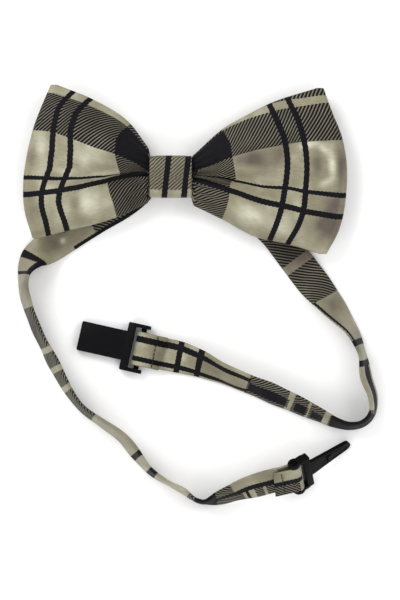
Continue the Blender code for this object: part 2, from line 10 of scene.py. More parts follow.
import bmesh
import bpy
import numpy as np
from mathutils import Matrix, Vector


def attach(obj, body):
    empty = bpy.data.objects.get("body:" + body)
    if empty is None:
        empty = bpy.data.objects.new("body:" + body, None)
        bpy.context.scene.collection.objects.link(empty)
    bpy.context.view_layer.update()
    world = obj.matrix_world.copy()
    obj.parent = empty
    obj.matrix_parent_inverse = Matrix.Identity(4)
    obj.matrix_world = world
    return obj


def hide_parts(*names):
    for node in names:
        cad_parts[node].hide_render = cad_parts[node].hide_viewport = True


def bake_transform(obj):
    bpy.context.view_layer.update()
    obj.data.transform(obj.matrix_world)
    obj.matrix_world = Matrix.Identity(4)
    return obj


bl_info = {
    "name": "Pre-tied tartan bow tie",
    "version": (1, 0, 0),
    "blender": (4, 5, 0),
    "location": "3D View > Sidebar > Bow Tie",
    "description": "Builds the cloth, strap and clasp of a pre-tied bow tie on its CAD frame",
    "category": "Object",
}

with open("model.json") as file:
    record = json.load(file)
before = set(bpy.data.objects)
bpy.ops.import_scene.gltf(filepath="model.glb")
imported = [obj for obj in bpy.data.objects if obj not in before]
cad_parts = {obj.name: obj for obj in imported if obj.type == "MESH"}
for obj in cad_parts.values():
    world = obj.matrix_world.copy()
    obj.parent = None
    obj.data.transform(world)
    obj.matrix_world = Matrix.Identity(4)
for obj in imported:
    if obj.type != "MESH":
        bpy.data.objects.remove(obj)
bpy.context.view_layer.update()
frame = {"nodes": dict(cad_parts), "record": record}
MM = 0.001

# ---------------------------------------------------------------- sizes shared with the CAD

CLOTH = 1.2
FOLD_RADIUS = 1.9
BACK_LAYER_LOW = 4.4
BACK_LAYER_RISE = 2.8
FRONT_AT_KNOT = 8.2
FRONT_AT_FOLD = 9.8
LOBE_HEIGHT = 6.6
LEFT_OUTLINE = {
    "top": [(-8.9, 10.8), (-16.5, 19.8), (-30.6, 28.1), (-44.6, 33.4)],
    "outer": [(-44.6, 33.4), (-50.9, 17.4), (-53.2, 8.1), (-54.5, -1.7), (-54.1, -12.2), (-51.2, -22.3)],
    "bottom": [(-8.9, -9.4), (-20.6, -14.4), (-30.6, -17.4), (-40.0, -19.5), (-51.2, -22.3)],
}
RIGHT_OUTLINE = {
    "top": [(8.9, 7.8), (21.5, 18.1), (29.3, 22.2), (38.0, 26.4), (56.6, 32.2)],
    "outer": [(56.6, 32.2), (60.0, 22.9), (63.0, 15.5), (64.9, 6.3), (65.0, -4.8), (61.9, -20.4), (57.8, -28.1)],
    "bottom": [(8.9, -10.4), (20.1, -15.5), (32.2, -21.6), (45.0, -24.4), (57.8, -28.1)],
}

# Where the sett's lines lie on each wing. A run is (share outwards, share upwards) of a line
# that leaves the knot, and a stripe is (share upwards, share outwards) of one that crosses the
# runs. Lines have widths in mm.
LEFT_SETT = {
    "crease": [(0.0, 0.56), (0.2, 0.45), (0.39, 0.385), (0.7, 0.36), (1.0, 0.36)],
    "thick_run": [(0.0, 0.495), (0.2, 0.42), (0.385, 0.35), (0.6, 0.305), (0.765, 0.285), (1.0, 0.278)],
    "thin_run": [(0.0, 0.575), (0.2, 0.465), (0.39, 0.41), (0.6, 0.38), (0.77, 0.372), (1.0, 0.383)],
    "thin_width": [(0.0, 0.05), (0.3, 0.1), (0.45, 0.8), (0.7, 1.2), (1.0, 1.5)],
    "band_low": [(0.0, 0.613), (0.33, 0.635), (0.49, 0.64), (0.69, 0.67), (0.89, 0.698), (1.0, 0.693)],
    "band_high": [(0.0, 0.93), (0.273, 0.943), (1.0, 0.945)],
    "block_edge": [(0.0, 0.29), (0.15, 0.31), (0.33, 0.357), (0.385, 0.35), (0.4, 0.25), (0.458, 0.258),
                   (0.585, 0.31), (0.635, 0.328), (0.772, 0.343), (0.87, 0.315), (0.943, 0.273), (1.0, 0.25)],
    "inner_stripe": [(0.0, 0.74), (0.075, 0.743), (0.208, 0.76), (0.278, 0.748), (0.362, 0.718), (0.47, 0.682),
                     (0.593, 0.698), (0.728, 0.738), (0.86, 0.745), (0.93, 0.715), (1.0, 0.672)],
    "outer_stripe": [(0.0, 0.902), (0.098, 0.888), (0.205, 0.893), (0.285, 0.888), (0.357, 0.865), (0.448, 0.833),
                     (0.578, 0.84), (0.728, 0.875), (0.865, 0.897), (0.93, 0.875), (1.0, 0.833)],
    "edge_band": 57.1,
}
RIGHT_SETT = {
    "crease": [(0.0, 0.6), (0.12, 0.51), (0.3, 0.425), (0.6, 0.375), (1.0, 0.36)],
    "thick_run": [(0.0, 0.505), (0.128, 0.388), (0.245, 0.325), (0.4, 0.292), (0.59, 0.263), (0.775, 0.23),
                  (1.0, 0.23)],
    "thin_run": [(0.0, 0.6), (0.088, 0.53), (0.302, 0.438), (0.49, 0.4), (0.645, 0.385), (0.76, 0.357), (1.0, 0.352)],
    "thin_width": [(0.0, 0.5), (0.1, 0.9), (0.3, 1.1), (0.6, 1.3), (1.0, 1.8)],
    "band_low": [(0.0, 0.672), (0.29, 0.688), (0.465, 0.703), (0.647, 0.692), (0.785, 0.69), (1.0, 0.68)],
    "band_high": [(0.0, 0.985), (0.3, 0.975), (0.458, 0.965), (0.608, 0.943), (0.845, 0.92), (1.0, 0.91)],
    "block_edge": [(0.0, 0.225), (0.215, 0.25), (0.388, 0.255), (0.43, 0.27), (0.465, 0.302), (0.688, 0.29),
                   (0.818, 0.3), (0.978, 0.27), (1.0, 0.265)],
    "inner_stripe": [(0.0, 0.61), (0.138, 0.613), (0.275, 0.625), (0.427, 0.64), (0.575, 0.655), (0.758, 0.665),
                     (0.885, 0.657), (1.0, 0.64)],
    "outer_stripe": [(0.0, 0.74), (0.115, 0.753), (0.245, 0.765), (0.395, 0.765), (0.517, 0.772), (0.705, 0.78),
                     (0.85, 0.79), (1.0, 0.768)],
    "edge_band": 64.0,
}
THICK_LINE = 2.1
STRIPE_LINE = 2.15
# The sett in mm of cloth: upwards across the wing, and outwards along it.
UPWARD_SETT = {"thick": (19.0, 21.0), "thin": (26.8, 28.2), "band": (41.0, 54.6), "next_band": (57.4, 70.4)}
OUTWARD_SETT = {"block": 13.0, "inner": (32.0, 34.0), "outer": (39.5, 41.5), "next_block": (60.5, 74.0)}
# Soft dents and swells pressed into a wing: share outwards, share upwards, their spreads, height.
LEFT_DENTS = [(0.93, 0.52, 0.07, 0.10, -0.5), (0.62, 0.20, 0.12, 0.09, -0.5), (0.52, 0.55, 0.2, 0.06, 0.5),
              (0.30, 0.22, 0.1, 0.1, 0.5), (0.85, 0.10, 0.1, 0.08, 0.4), (0.72, 0.80, 0.12, 0.08, 0.4)]
RIGHT_DENTS = [(0.86, 0.48, 0.05, 0.14, 0.55), (0.76, 0.50, 0.06, 0.12, -0.5), (0.45, 0.56, 0.16, 0.05, 0.6),
               (0.55, 0.16, 0.16, 0.08, -0.45), (0.9, 0.14, 0.09, 0.1, -0.5), (0.62, 0.84, 0.14, 0.07, 0.4)]

# Painted highlight and shade on the satin, where it would turn to the light or away: place in mm, spreads across the
# page and up it, turn of the spot in degrees, and how far, from -1 for painted taupe shade to 1 for a full painted
# gleam.
BOW_PAINTED_LIGHT = [
    (-30.6, 8.1, 6.0, 6.0, 20, 0.5), (-25.0, 14.0, 5.0, 2.5, -35, 0.4), (-51.3, 7.2, 1.9, 3.2, 0, -0.45),
    (-47.5, 9.5, 2.2, 7.0, 0, 0.5), (-30.0, -10.0, 6.5, 4.5, 10, 0.8), (-34.8, -10.6, 2.0, 3.0, 0, -0.9),
    (-50.5, -13.5, 3.0, 4.5, 0, -0.3), (-47.6, -8.0, 2.0, 4.0, 0, 0.3), (-47.0, -20.5, 5.0, 1.6, 15, -0.5),
    (-44.0, -6.0, 4.0, 3.0, 0, 0.25),
    (-24.0, 1.2, 12.0, 1.0, 8, 0.4), (-38.0, 1.8, 3.5, 1.3, 0, 0.5), (-22.0, 8.0, 3.0, 3.0, 0, -0.3),
    (31.0, 6.3, 6.5, 4.0, 0, -1.0), (27.0, 2.5, 4.0, 1.4, -15, 0.3), (40.5, 9.0, 3.2, 5.0, 0, -0.6),
    (50.6, 11.5, 3.4, 1.4, 15, 0.85), (56.5, 10.0, 2.6, 1.5, -35, 0.9), (59.6, 4.2, 1.4, 4.2, 5, 0.9),
    (56.8, -2.2, 3.0, 1.2, 30, 0.55), (54.5, 4.5, 2.6, 4.2, 0, -0.75), (63.0, 4.0, 2.2, 10.0, 0, -1.0),
    (30.5, -14.0, 6.5, 3.2, -14, 0.75), (40.5, -18.6, 4.0, 3.0, 0, 0.5), (36.5, -10.5, 4.0, 2.4, -10, 0.35),
    (58.0, -17.5, 6.0, 6.5, 0, -1.15), (60.5, -9.0, 3.6, 4.0, 0, -0.55), (46.5, -10.5, 2.2, 2.4, 0, 0.35),
]
STRAP_PAINTED_LIGHT = [
    (-54.0, -41.0, 3.0, 8.0, 0, -0.55), (-50.0, -56.0, 6.0, 4.0, -70, -0.3), (-20.0, -94.0, 14.0, 4.0, -40, -0.25),
    (-42.0, -24.5, 5.0, 4.5, 0, -0.7), (-40.0, -23.6, 1.3, 1.3, 0, 1.2), (-33.0, -19.0, 5.0, 3.0, 30, -0.2),
    (60.0, -48.0, 6.0, 9.0, 0, -0.55), (68.5, -61.0, 3.0, 4.5, 0, -0.8), (45.0, -29.0, 9.0, 9.0, 0, -0.8),
    (23.0, -113.5, 5.0, 3.0, 15, -0.3), (34.0, -109.5, 7.0, 2.5, 18, -0.35),
    (14.0, -70.0, 9.0, 4.0, -20, -0.35), (4.5, -66.8, 1.6, 1.6, 0, 0.4), (30.0, -76.0, 6.0, 3.0, -20, -0.2),
]

STRAP_WIDTH = 12.0
STRAP_THICKNESS = 1.7
LEFT_ROUTE = [
    (-2.0, 0.0, 0, 1.2), (-8.6, -0.2, 0, 1.0), (-13.2, -5.6, 0, 0.4), (-17.8, -9.2, 0, 0), (-27.0, -14.6, 0, 0),
    (-36.0, -20.2, 0, 0), (-43.2, -24.9, 4, 0), (-47.9, -28.0, 20, 0), (-51.4, -30.9, 46, 0),
    (-53.8, -34.8, 66, 0), (-54.4, -40.0, 74, 0), (-52.7, -47.7, 73, 0), (-49.8, -55.5, 75, 0),
    (-46.1, -63.3, 74, 0), (-42.6, -70.0, 70, 0), (-38.2, -78.2, 76, 0), (-33.0, -85.2, 80, 0),
    (-25.5, -90.8, 78, 0), (-18.0, -96.2, 73, 0), (-12.7, -102.5, 72, 0), (-7.8, -108.4, 81, 0),
    (-1.7, -112.6, 85, 0), (4.7, -116.0, 85, 0), (9.6, -119.4, 86, 0), (12.2, -120.0, 86, 0),
    (17.6, -118.6, 66, 0.1), (23.8, -116.4, 56, 1.2), (31.0, -114.0, 44, 3.4), (40.6, -111.4, 42, 4.6),
]
RIGHT_ROUTE = [
    (2.0, 0.0, 0, 1.2), (8.6, -0.2, 0, 1.0), (13.0, -4.2, 0, 0.4), (17.5, -7.0, 0, 0), (29.0, -12.6, 0, 0),
    (38.5, -20.6, 0, 0), (44.8, -28.8, 0, 0), (50.8, -36.8, 0, 0), (57.6, -45.2, -32, 0), (63.6, -52.4, -56, 0),
    (67.6, -58.0, -70, 0), (70.4, -64.5, -77, 0), (72.3, -74.4, -70, 0), (74.6, -81.5, -76, 0),
    (74.6, -86.4, -80, 0), (73.0, -89.4, -80, 0), (70.6, -91.2, -80, 0), (66.3, -92.0, -78, 0),
    (60.8, -90.7, -74, 0), (53.8, -87.4, -65, 0), (46.0, -83.8, -58, 0), (36.7, -79.7, -53, 0),
    (29.3, -76.7, -56, 0), (22.7, -74.1, -55, 0), (16.4, -71.4, -48, 0), (10.8, -69.0, -34, 0),
    (3.4, -66.7, -12, 0.5), (-4.6, -65.1, 0, 1.9),
]
LEFT_CUT = (-46.1, -63.3)
RIGHT_CUT = (67.6, -58.0)

# Bands of the sett along and across each strand, in mm from the strand's start and its middle.
# A strand is pieced from several lanes of the cloth, 20 mm apart, so its lanes are (start, lane).
LANE = 20.0
LEFT_STRAND_ALONG = {
    "dark": [(0, 33), (77.6, 93.2), (95.6, 101.3), (103.2, 109.3), (111.8, 125.3), (174.2, 192.0), (196.4, 199.8),
             (201.4, 205.4), (208.4, 222)],
    "line": [(57.2, 59.9), (64.2, 65.6), (145.6, 148.3), (153.8, 156.6), (193.0, 194.8)],
}
LEFT_STRAND_ACROSS = {"dark": [(51, 69)], "line": [(-3.4, -1.5), (4.4, 7.0), (43.2, 47.0), (78.9, 81.2)]}
LEFT_LANES = [(0.0, 0), (44.0, 1), (58.6, 2), (65.0, 1), (171.5, 3), (182.5, 4)]
RIGHT_STRAND_ALONG = {
    "dark": [(0, 54.8), (58.0, 73.4), (120.5, 138.8), (141.6, 146.3), (147.8, 153), (155.4, 171.5)],
    "line": [(92.2, 94.8), (100.4, 103.0), (189.6, 191.7), (197.4, 199.5)],
}
RIGHT_STRAND_ACROSS = {
    "dark": [(51, 69), (77.4, 83.4)],
    "line": [(-4.8, -2.6), (2.4, 4.6), (13.9, 14.6), (37.2, 42.2)],
}
RIGHT_LANES = [
    (0.0, 5), (73.4, 1), (94.8, 5), (102.4, 2), (120.0, 3), (138.8, 5), (141.6, 4), (146.3, 5), (147.8, 4),
    (153.0, 5), (155.4, 4), (171.5, 0),
]
# The left strand's upper half at its end, from this far along in its last lane, comes from a
# plain part of the cloth that lies further on.
PIECED_LANE = 4
PIECED_START = 190.0
PLAIN_SHIFT = 60.0
# The ends of a strand's ramps along and across it, the distance between its rows, and how near
# to a change of lane the rows beside it lie.
STRAND_REACH = ((0, 290), (-8, 112))
ROW_STEP = 0.6
LANE_EDGE = 0.015

KNOT_WIDTH = 16.6
KNOT_HEIGHT = 15.6
KNOT_DEPTH = 13.0
KNOT_WALL = 1.0
LINER_WALL = 0.5
KNOT_CORNER = 3.2
GAP = 0.3
PLEATS_LENGTH = 14.8
PLEATS_MIDDLE = 7.6
PLEATS_WAIST = (4.35, 2.35)
PLEATS_FLARE = (1.2, 0.85)
PLEAT_COUNT = 12
PLEAT_DEPTH = 0.055
# Soft pleats round the knot: place across it and spread, as shares of half its width, and depth.
KNOT_PLEATS = [(-0.82, 0.09, 0.28), (0.86, 0.08, 0.22)]
KNOT_CROWN = 0.35
KNOT_LEAN = 0.115
# The gathered cloth inside the knot: its place out from the middle, its middle and its height.
GATHERS = 9
NECK_OUT = 7.3
NECK_MIDDLE = 0.1
NECK_TALL = 9.6
# The level of the front and the back layer in the knot, and the height of their gathers.
FRONT_NECK = (9.9, 0.45)
BACK_NECK = (5.3, 0.25)
# How many rows a wing's front, back and end fold have, and how many columns they share.
FRONT_ROWS, BACK_ROWS, FOLD_ROWS, WING_COLUMNS = 104, 48, 15, 92
# How far the cloth runs round a wing's end fold, and between the knot and its first row.
FOLD_RUN = 6.2
NECK_RUN = (0.15, 1.6)

SOCKET_PIN = (-11.3, -63.6, 2.75)
SOCKET_HEADING = 167.3
SOCKET_PITCH = 2.8
TONGUE_PIN = (46.4, -110.6, 8.4)
TONGUE_HEADING = 32.0
TONGUE_DROP = 17.0
TONGUE_TILT = 48.0
LEFT_END_HEADING = 19.0
TURN_WIDTH = 12.6
# The strap's end round a pin: its nose's radius, how far its layers lie from the pin's level,
# how far back the lower and the upper layer reach, and half their thickness.
TURN_RADIUS = 1.78
TURN_LAYER = 1.15
TURN_LOWER = 8.3
TURN_UPPER = 9.4
TURN_HALF = 0.4
# Its stitches: how many, their place along and above the pin, how far they spread each way, and
# the half sizes of each across, along and through the cloth.
STITCHES = 8
STITCH_PLACE = (-5.6, 1.95)
STITCH_REACH = 5.3
STITCH_SIZE = (0.2, 0.62, 0.17)
# Points this near each other become one, and edges that turn by more than this stay hard.
MERGE_DISTANCE = 0.002
SHARP_ANGLE = math.radians(35)


# The twill's soft edge as a share of its pitch, and in mm the satin's streaks and the mottle of its painted highlight
# and shade.
TWILL_BLUR = 0.1
STREAK = 0.35
PAINTED_LIGHT_MOTTLE = 7.0


# ---------------------------------------------------------------- colours and settings

def linear(text):
    """An sRGB hex colour as linear red, green and blue."""
    channels = [int(text[i : i + 2], 16) / 255 for i in (1, 3, 5)]
    return tuple(c / 12.92 if c <= 0.04045 else ((c + 0.055) / 1.055) ** 2.4 for c in channels)


def colour_setting(name, text, description):
    return bpy.props.FloatVectorProperty(
        name=name, description=description, subtype="COLOR", size=3, min=0.0, max=1.0, default=linear(text),
    )


def length_setting(name, value, description):
    return bpy.props.FloatProperty(
        name=name, description=description, default=value * MM, min=0.0, precision=5,
        subtype="DISTANCE", unit="LENGTH",
    )


def number_setting(name, value, description, unit="NONE"):
    return bpy.props.FloatProperty(name=name, description=description, default=value, unit=unit)


class TieColours(bpy.types.PropertyGroup):
    cream: colour_setting("Cream", "#87826A", "Satin warp of the plain squares")
    # pale is painted highlight, the cream lightened where the satin would turn to the light; taupe is painted shade
    # where it turns away, and also the darker tone of the satin's thread streaks and twill.
    pale: colour_setting("Pale cream", "#C4C3AE", "Satin where it turns to the light")
    taupe: colour_setting("Taupe", "#554C42", "Satin where it turns away")
    black: colour_setting("Black", "#0C0B0F", "Black warp and weft of the sett")
    lining: colour_setting("Interlining", "#C9C4B6", "Undyed wool interlining")
    plastic: colour_setting("Plastic", "#09090B", "Moulded plastic of the clasp")
    thread: colour_setting("Thread", "#1B191C", "Sewing thread")
    floor: colour_setting("Floor", "#F8F8F8", "Pale floor")


class TieSizes(bpy.types.PropertyGroup):
    cloth: length_setting("Cloth", 1.0, "Thickness of the doubled satin of the bow")
    strap: length_setting("Strap", 1.65, "Thickness of the neck strap")
    twill: length_setting("Twill pitch", 1.05, "Distance between two twill lines")
    ragged: length_setting("Ragged edge", 0.26, "How far a line's edge steps with the twill")
    wrinkle: length_setting("Wrinkle", 0.16, "Height of the strap's soft wrinkles")


class TieStage(bpy.types.PropertyGroup):
    key: number_setting("Key light", 6.0, "Power of the main softbox", "POWER")
    fill: number_setting("Fill light", 2.8, "Power of the other softboxes", "POWER")
    sky: number_setting("Room light", 0.72, "Strength of the room's even light")


# ---------------------------------------------------------------- nodes and materials

def add_node(tree, kind, settings=(), links=()):
    """Adds a node, sets its attributes, and sets or links its inputs, by name or number."""
    node = tree.nodes.new(kind)
    for attribute, value in dict(settings).items():
        setattr(node, attribute, value)
    for socket, value in dict(links).items():
        if isinstance(value, bpy.types.NodeSocket):
            tree.links.new(value, node.inputs[socket])
        else:
            node.inputs[socket].default_value = value
    return node


def maths(tree, operation, *values):
    """A Math node's result."""
    return add_node(tree, "ShaderNodeMath", {"operation": operation}, dict(enumerate(values))).outputs[0]


def new_material(name):
    """An empty material with its shader, and the tree they are in."""
    material = bpy.data.materials.new(name)
    material.use_nodes = True
    tree = material.node_tree
    return material, tree, tree.nodes["Principled BSDF"]


def tone(colour, share=1.0):
    """A colour made darker or lighter by a share, with full alpha."""
    return (*(channel * share for channel in colour), 1.0)


def object_place(tree):
    """A point's place on its own piece."""
    return add_node(tree, "ShaderNodeTexCoord").outputs["Object"]


def set_surface(tree, shader, colour, roughness, height, depth, strength):
    """Links colour, roughness and a bump of a depth in mm to a shader."""
    links = {"Height": height, "Distance": depth * MM, "Strength": strength}
    bump = add_node(tree, "ShaderNodeBump", links=links)
    tree.links.new(colour, shader.inputs["Base Color"])
    tree.links.new(roughness, shader.inputs["Roughness"])
    tree.links.new(bump.outputs[0], shader.inputs["Normal"])


def mix(tree, share, first, second):
    """Two colours mixed by a share."""
    node = add_node(tree, "ShaderNodeMix", {"data_type": "RGBA"}, {0: share, 6: first, 7: second})
    return node.outputs[2]


def noise(tree, place, size, detail=2.0, stretch=(1.0, 1.0, 1.0)):
    """Noise with features of a size in mm."""
    scale = [share / (size * MM) for share in stretch]
    mapping = add_node(tree, "ShaderNodeMapping", links={0: place, "Scale": scale})
    links = {0: mapping.outputs[0], "Scale": 1.0, "Detail": detail}
    return add_node(tree, "ShaderNodeTexNoise", links=links).outputs[0]


def remap(tree, value, low, high, first=0.0, second=1.0):
    """A value carried smoothly from one range to another."""
    node = add_node(
        tree, "ShaderNodeMapRange", {"interpolation_type": "SMOOTHSTEP"},
        {"Value": value, "From Min": low, "From Max": high, "To Min": first, "To Max": second},
    )
    return node.outputs[0]


def sett_ramp(tree, coordinate, bands, low, high):
    """The sett along one direction: red where a broad band is dark and green where a line is."""
    share = remap_linear(tree, coordinate, low, high)
    ramp = add_node(tree, "ShaderNodeValToRGB", links={0: share})
    elements = ramp.color_ramp.elements
    ramp.color_ramp.interpolation = "CONSTANT"
    edges = {}
    marks = [(*band, (1.0, 0.0, 0.0, 1.0)) for band in bands["dark"]]
    marks += [(*band, (0.0, 1.0, 0.0, 1.0)) for band in bands["line"]]
    for start, end, colour in sorted(marks):
        edges[start] = colour
        edges.setdefault(end, (0.0, 0.0, 0.0, 1.0))
    elements[0].color = (0.0, 0.0, 0.0, 1.0)
    elements.remove(elements[1])
    for place, colour in sorted(edges.items()):
        position = (place - low) / (high - low)
        if position <= 0:
            elements[0].color = colour
        elif position < 1:
            elements.new(position).color = colour
    parts = add_node(tree, "ShaderNodeSeparateColor", links={0: ramp.outputs[0]})
    return parts.outputs[0], parts.outputs[1]


def remap_linear(tree, value, low, high, first=0.0, second=1.0):
    """A value carried evenly from one range to another."""
    limits = {"Value": value, "From Min": low, "From Max": high, "To Min": first, "To Max": second}
    return add_node(tree, "ShaderNodeMapRange", links=limits).outputs[0]


def tartan_satin(name, along, across, reach, lean, seed, black_share=0.64):
    """Tartan satin, yarn-dyed and woven: plain satin squares, solid black squares, and a diagonal twill of both where
    a black band crosses cream. Long floats give it a soft gleam, and its colour holds painted highlight and shade.

    The UV map holds the place on the cloth in metres, along and across. reach is the ramps'
    (lowest, highest) in mm for each direction, lean is the side that the twill rises to, and
    black_share is how much of the twill is black.
    """
    tie, sizes = bpy.context.scene.tie_colours, bpy.context.scene.tie_sizes
    material, tree, shader = new_material(name)
    cloth = add_node(tree, "ShaderNodeUVMap", {"uv_map": "cloth"}).outputs[0]
    place = object_place(tree)
    split = add_node(tree, "ShaderNodeSeparateXYZ", links={0: cloth})
    u = maths(tree, "MULTIPLY", split.outputs[0], 1 / MM)
    v = maths(tree, "MULTIPLY", split.outputs[1], 1 / MM)
    # A line's edge steps once for each twill line.
    twill = sizes.twill / MM
    ragged = sizes.ragged / MM

    def stepped(coordinate, other):
        step = maths(tree, "PINGPONG", other, twill * 0.7)
        step = maths(tree, "MULTIPLY_ADD", step, ragged / twill, -ragged * 0.35)
        return maths(tree, "ADD", coordinate, step)

    band_u, line_u = sett_ramp(tree, stepped(u, v), along, *reach[0])
    band_v, line_v = sett_ramp(tree, stepped(v, u), across, *reach[1])
    woven = maths(tree, "MAXIMUM", band_u, band_v)
    slope = maths(tree, "MULTIPLY_ADD", u, lean, v)
    wave = maths(tree, "PINGPONG", maths(tree, "DIVIDE", slope, twill * math.sqrt(2)), 0.5)
    light = remap(tree, wave, black_share / 2 - TWILL_BLUR, black_share / 2 + TWILL_BLUR)
    grey = maths(tree, "MULTIPLY", woven, maths(tree, "SUBTRACT", 1.0, light))
    solid = maths(tree, "MULTIPLY", band_u, band_v)
    lines = maths(tree, "MAXIMUM", line_u, line_v)
    dark = maths(tree, "MAXIMUM", maths(tree, "MAXIMUM", grey, solid), lines)
    # Threads are about 0.1 mm apart, too fine to show, so their streaks are drawn at 0.35 mm.
    streaks = noise(tree, cloth, STREAK, 3.0, (0.12, 1.0, 1.0))
    # Painted highlight and shade: the stored painted light per point and a broad noise mottle of painted reflections
    # lighten the cream towards pale or darken it towards taupe.
    broad = noise(tree, shifted_place(tree, place, seed), PAINTED_LIGHT_MOTTLE)
    painted_light = add_node(tree, "ShaderNodeAttribute", {"attribute_name": "painted_light"}).outputs["Fac"]
    painted_light = maths(tree, "ADD", painted_light, remap_linear(tree, broad, 0.25, 0.75, -0.3, 0.3))
    satin = mix(tree, remap_linear(tree, painted_light, 0.0, 1.0), tone(tie.cream), tone(tie.pale))
    satin = mix(tree, remap_linear(tree, painted_light, 0.0, -1.0), satin, tone(tie.taupe))
    satin = mix(tree, remap(tree, streaks, 0.35, 0.7, 0.0, 0.2), satin, tone(tie.taupe, 0.6))
    satin = mix(tree, maths(tree, "MULTIPLY", woven, 0.42), satin, tone(tie.taupe, 0.5))
    black = mix(tree, remap(tree, streaks, 0.4, 0.7), tone(tie.black), tone(tie.black, 1.8))
    colour = mix(tree, dark, satin, black)
    roughness = maths(tree, "MULTIPLY_ADD", dark, 0.16, maths(tree, "MULTIPLY_ADD", woven, 0.08, 0.4))
    weave = maths(tree, "MULTIPLY_ADD", woven, maths(tree, "MULTIPLY", wave, 1.6), streaks)
    set_surface(tree, shader, colour, roughness, weave, 0.12, 0.45)
    tree.links.new(maths(tree, "MULTIPLY_ADD", dark, -0.26, 0.34), shader.inputs["Specular IOR Level"])
    return material


def shifted_place(tree, place, seed):
    """A place moved by a seed, so that two pieces don't share their mottle of painted reflections."""
    links = {0: place, "Location": (seed * 0.31, seed * 0.17, 0.0)}
    return add_node(tree, "ShaderNodeMapping", links=links).outputs[0]


def fibrous(name, colour, size, roughness, depth, contrast):
    """Felted or spun fibre: matt, with a mottle and a fuzzy bump of a size in mm."""
    material, tree, shader = new_material(name)
    place = object_place(tree)
    fuzz = noise(tree, place, size, 5.0)
    shade = mix(tree, remap(tree, fuzz, 0.35, 0.65, 0.0, contrast), tone(colour), tone(colour, 0.5))
    set_surface(tree, shader, shade, remap(tree, fuzz, 0.3, 0.7, roughness - 0.08, roughness), fuzz, depth, 0.6)
    shader.inputs["Specular IOR Level"].default_value = 0.2
    return material


def moulded(name, colour, metallic=0.0):
    """Acetal clasp parts, injection moulded with a fine spark-eroded grain, rubbed smoother in
    places; lacquered steel wire takes the same grain."""
    material, tree, shader = new_material(name)
    place = object_place(tree)
    # The grain is about 0.05 mm in the real tool, drawn here at 0.18 mm.
    grain = noise(tree, place, 0.18, 3.0)
    rubbed = noise(tree, place, 5.0, 3.0)
    shade = mix(tree, remap(tree, rubbed, 0.45, 0.75, 0.0, 0.6), tone(colour), tone(colour, 1.7))
    set_surface(tree, shader, shade, remap(tree, rubbed, 0.3, 0.7, 0.52, 0.36), grain, 0.03, 0.35)
    shader.inputs["Metallic"].default_value = metallic
    shader.inputs["Specular IOR Level"].default_value = 0.07
    return material


# ---------------------------------------------------------------- surfaces

def arc_lengths(points):
    """The length of a line of points up to each one, from 0."""
    return np.concatenate([[0.0], np.cumsum(np.linalg.norm(np.diff(points, axis=0), axis=1))])


def points_at(places, along, points):
    """A line's points read in straight steps at places along it."""
    return np.stack([np.interp(places, along, column) for column in points.T], axis=1)


def smooth_line(points, step):
    """Points about a step apart along a smooth curve through the given rows: on each stretch a
    cubic that leaves and arrives with the slope of the neighbouring points."""
    points = np.array(points, float)
    along = arc_lengths(points[:, :2])
    lengths = np.diff(along)
    slopes = np.gradient(points, along, axis=0)
    places = np.linspace(0.0, along[-1], max(2, round(along[-1] / step) + 1))
    left = np.clip(np.searchsorted(along, places, side="right") - 1, 0, len(lengths) - 1)
    size = lengths[left]
    t = ((places - along[left]) / size)[:, None]
    size = size[:, None]
    start = (1 + 2 * t) * (1 - t) ** 2 * points[left] + t * (1 - t) ** 2 * size * slopes[left]
    end = t**2 * (3 - 2 * t) * points[left + 1] + t**2 * (t - 1) * size * slopes[left + 1]
    return start + end


def curve_through(points, places):
    """Points at shares of the length of a smooth curve through an outline's points."""
    fine = smooth_line(points, 0.5)
    along = arc_lengths(fine)
    return points_at(places, along / along[-1], fine)


def grid_quads(index):
    """The corners of every square of a grid of point numbers, in order round it."""
    corners = [index[:-1, :-1], index[1:, :-1], index[1:, 1:], index[:-1, 1:]]
    return np.stack(corners, axis=-1).reshape(-1, 4)


def ring_grid(rows, around):
    """Point numbers of rows of rings, each ending with its first point again."""
    index = np.arange(rows * around).reshape(rows, around)
    return np.concatenate([index, index[:, :1]], axis=1)


def link_object(name, data):
    """A new object in the scene, at the origin."""
    piece = bpy.data.objects.new(name, data)
    bpy.context.scene.collection.objects.link(piece)
    return piece


def merge_points(mesh, flat=False):
    """Merges points that meet, joins faces that lie flat beside each other if asked, and turns
    the faces outwards."""
    work = bmesh.new()
    work.from_mesh(mesh)
    bmesh.ops.remove_doubles(work, verts=work.verts, dist=MERGE_DISTANCE * MM)
    if flat:
        limit = math.radians(1.0)
        bmesh.ops.dissolve_limit(work, angle_limit=limit, verts=work.verts, edges=work.edges)
    bmesh.ops.recalc_face_normals(work, faces=work.faces)
    work.to_mesh(mesh)
    work.free()


def unit(vectors):
    """Vectors divided by their lengths."""
    return vectors / np.maximum(np.linalg.norm(vectors, axis=-1, keepdims=True), 1e-9)


def put_piece(name, points, faces, corners, cloth, material):
    """A smooth mesh piece of points in mm, with the cloth's place in metres in its UV map."""
    mesh = bpy.data.meshes.new(name)
    mesh.from_pydata((points * MM).tolist(), [], faces)
    layer = mesh.uv_layers.new(name="cloth")
    layer.data.foreach_set("uv", (cloth[corners] * MM).astype(np.float32).ravel())
    mesh.shade_smooth()
    mesh.materials.append(material)
    mesh.update()
    return link_object(name, mesh)


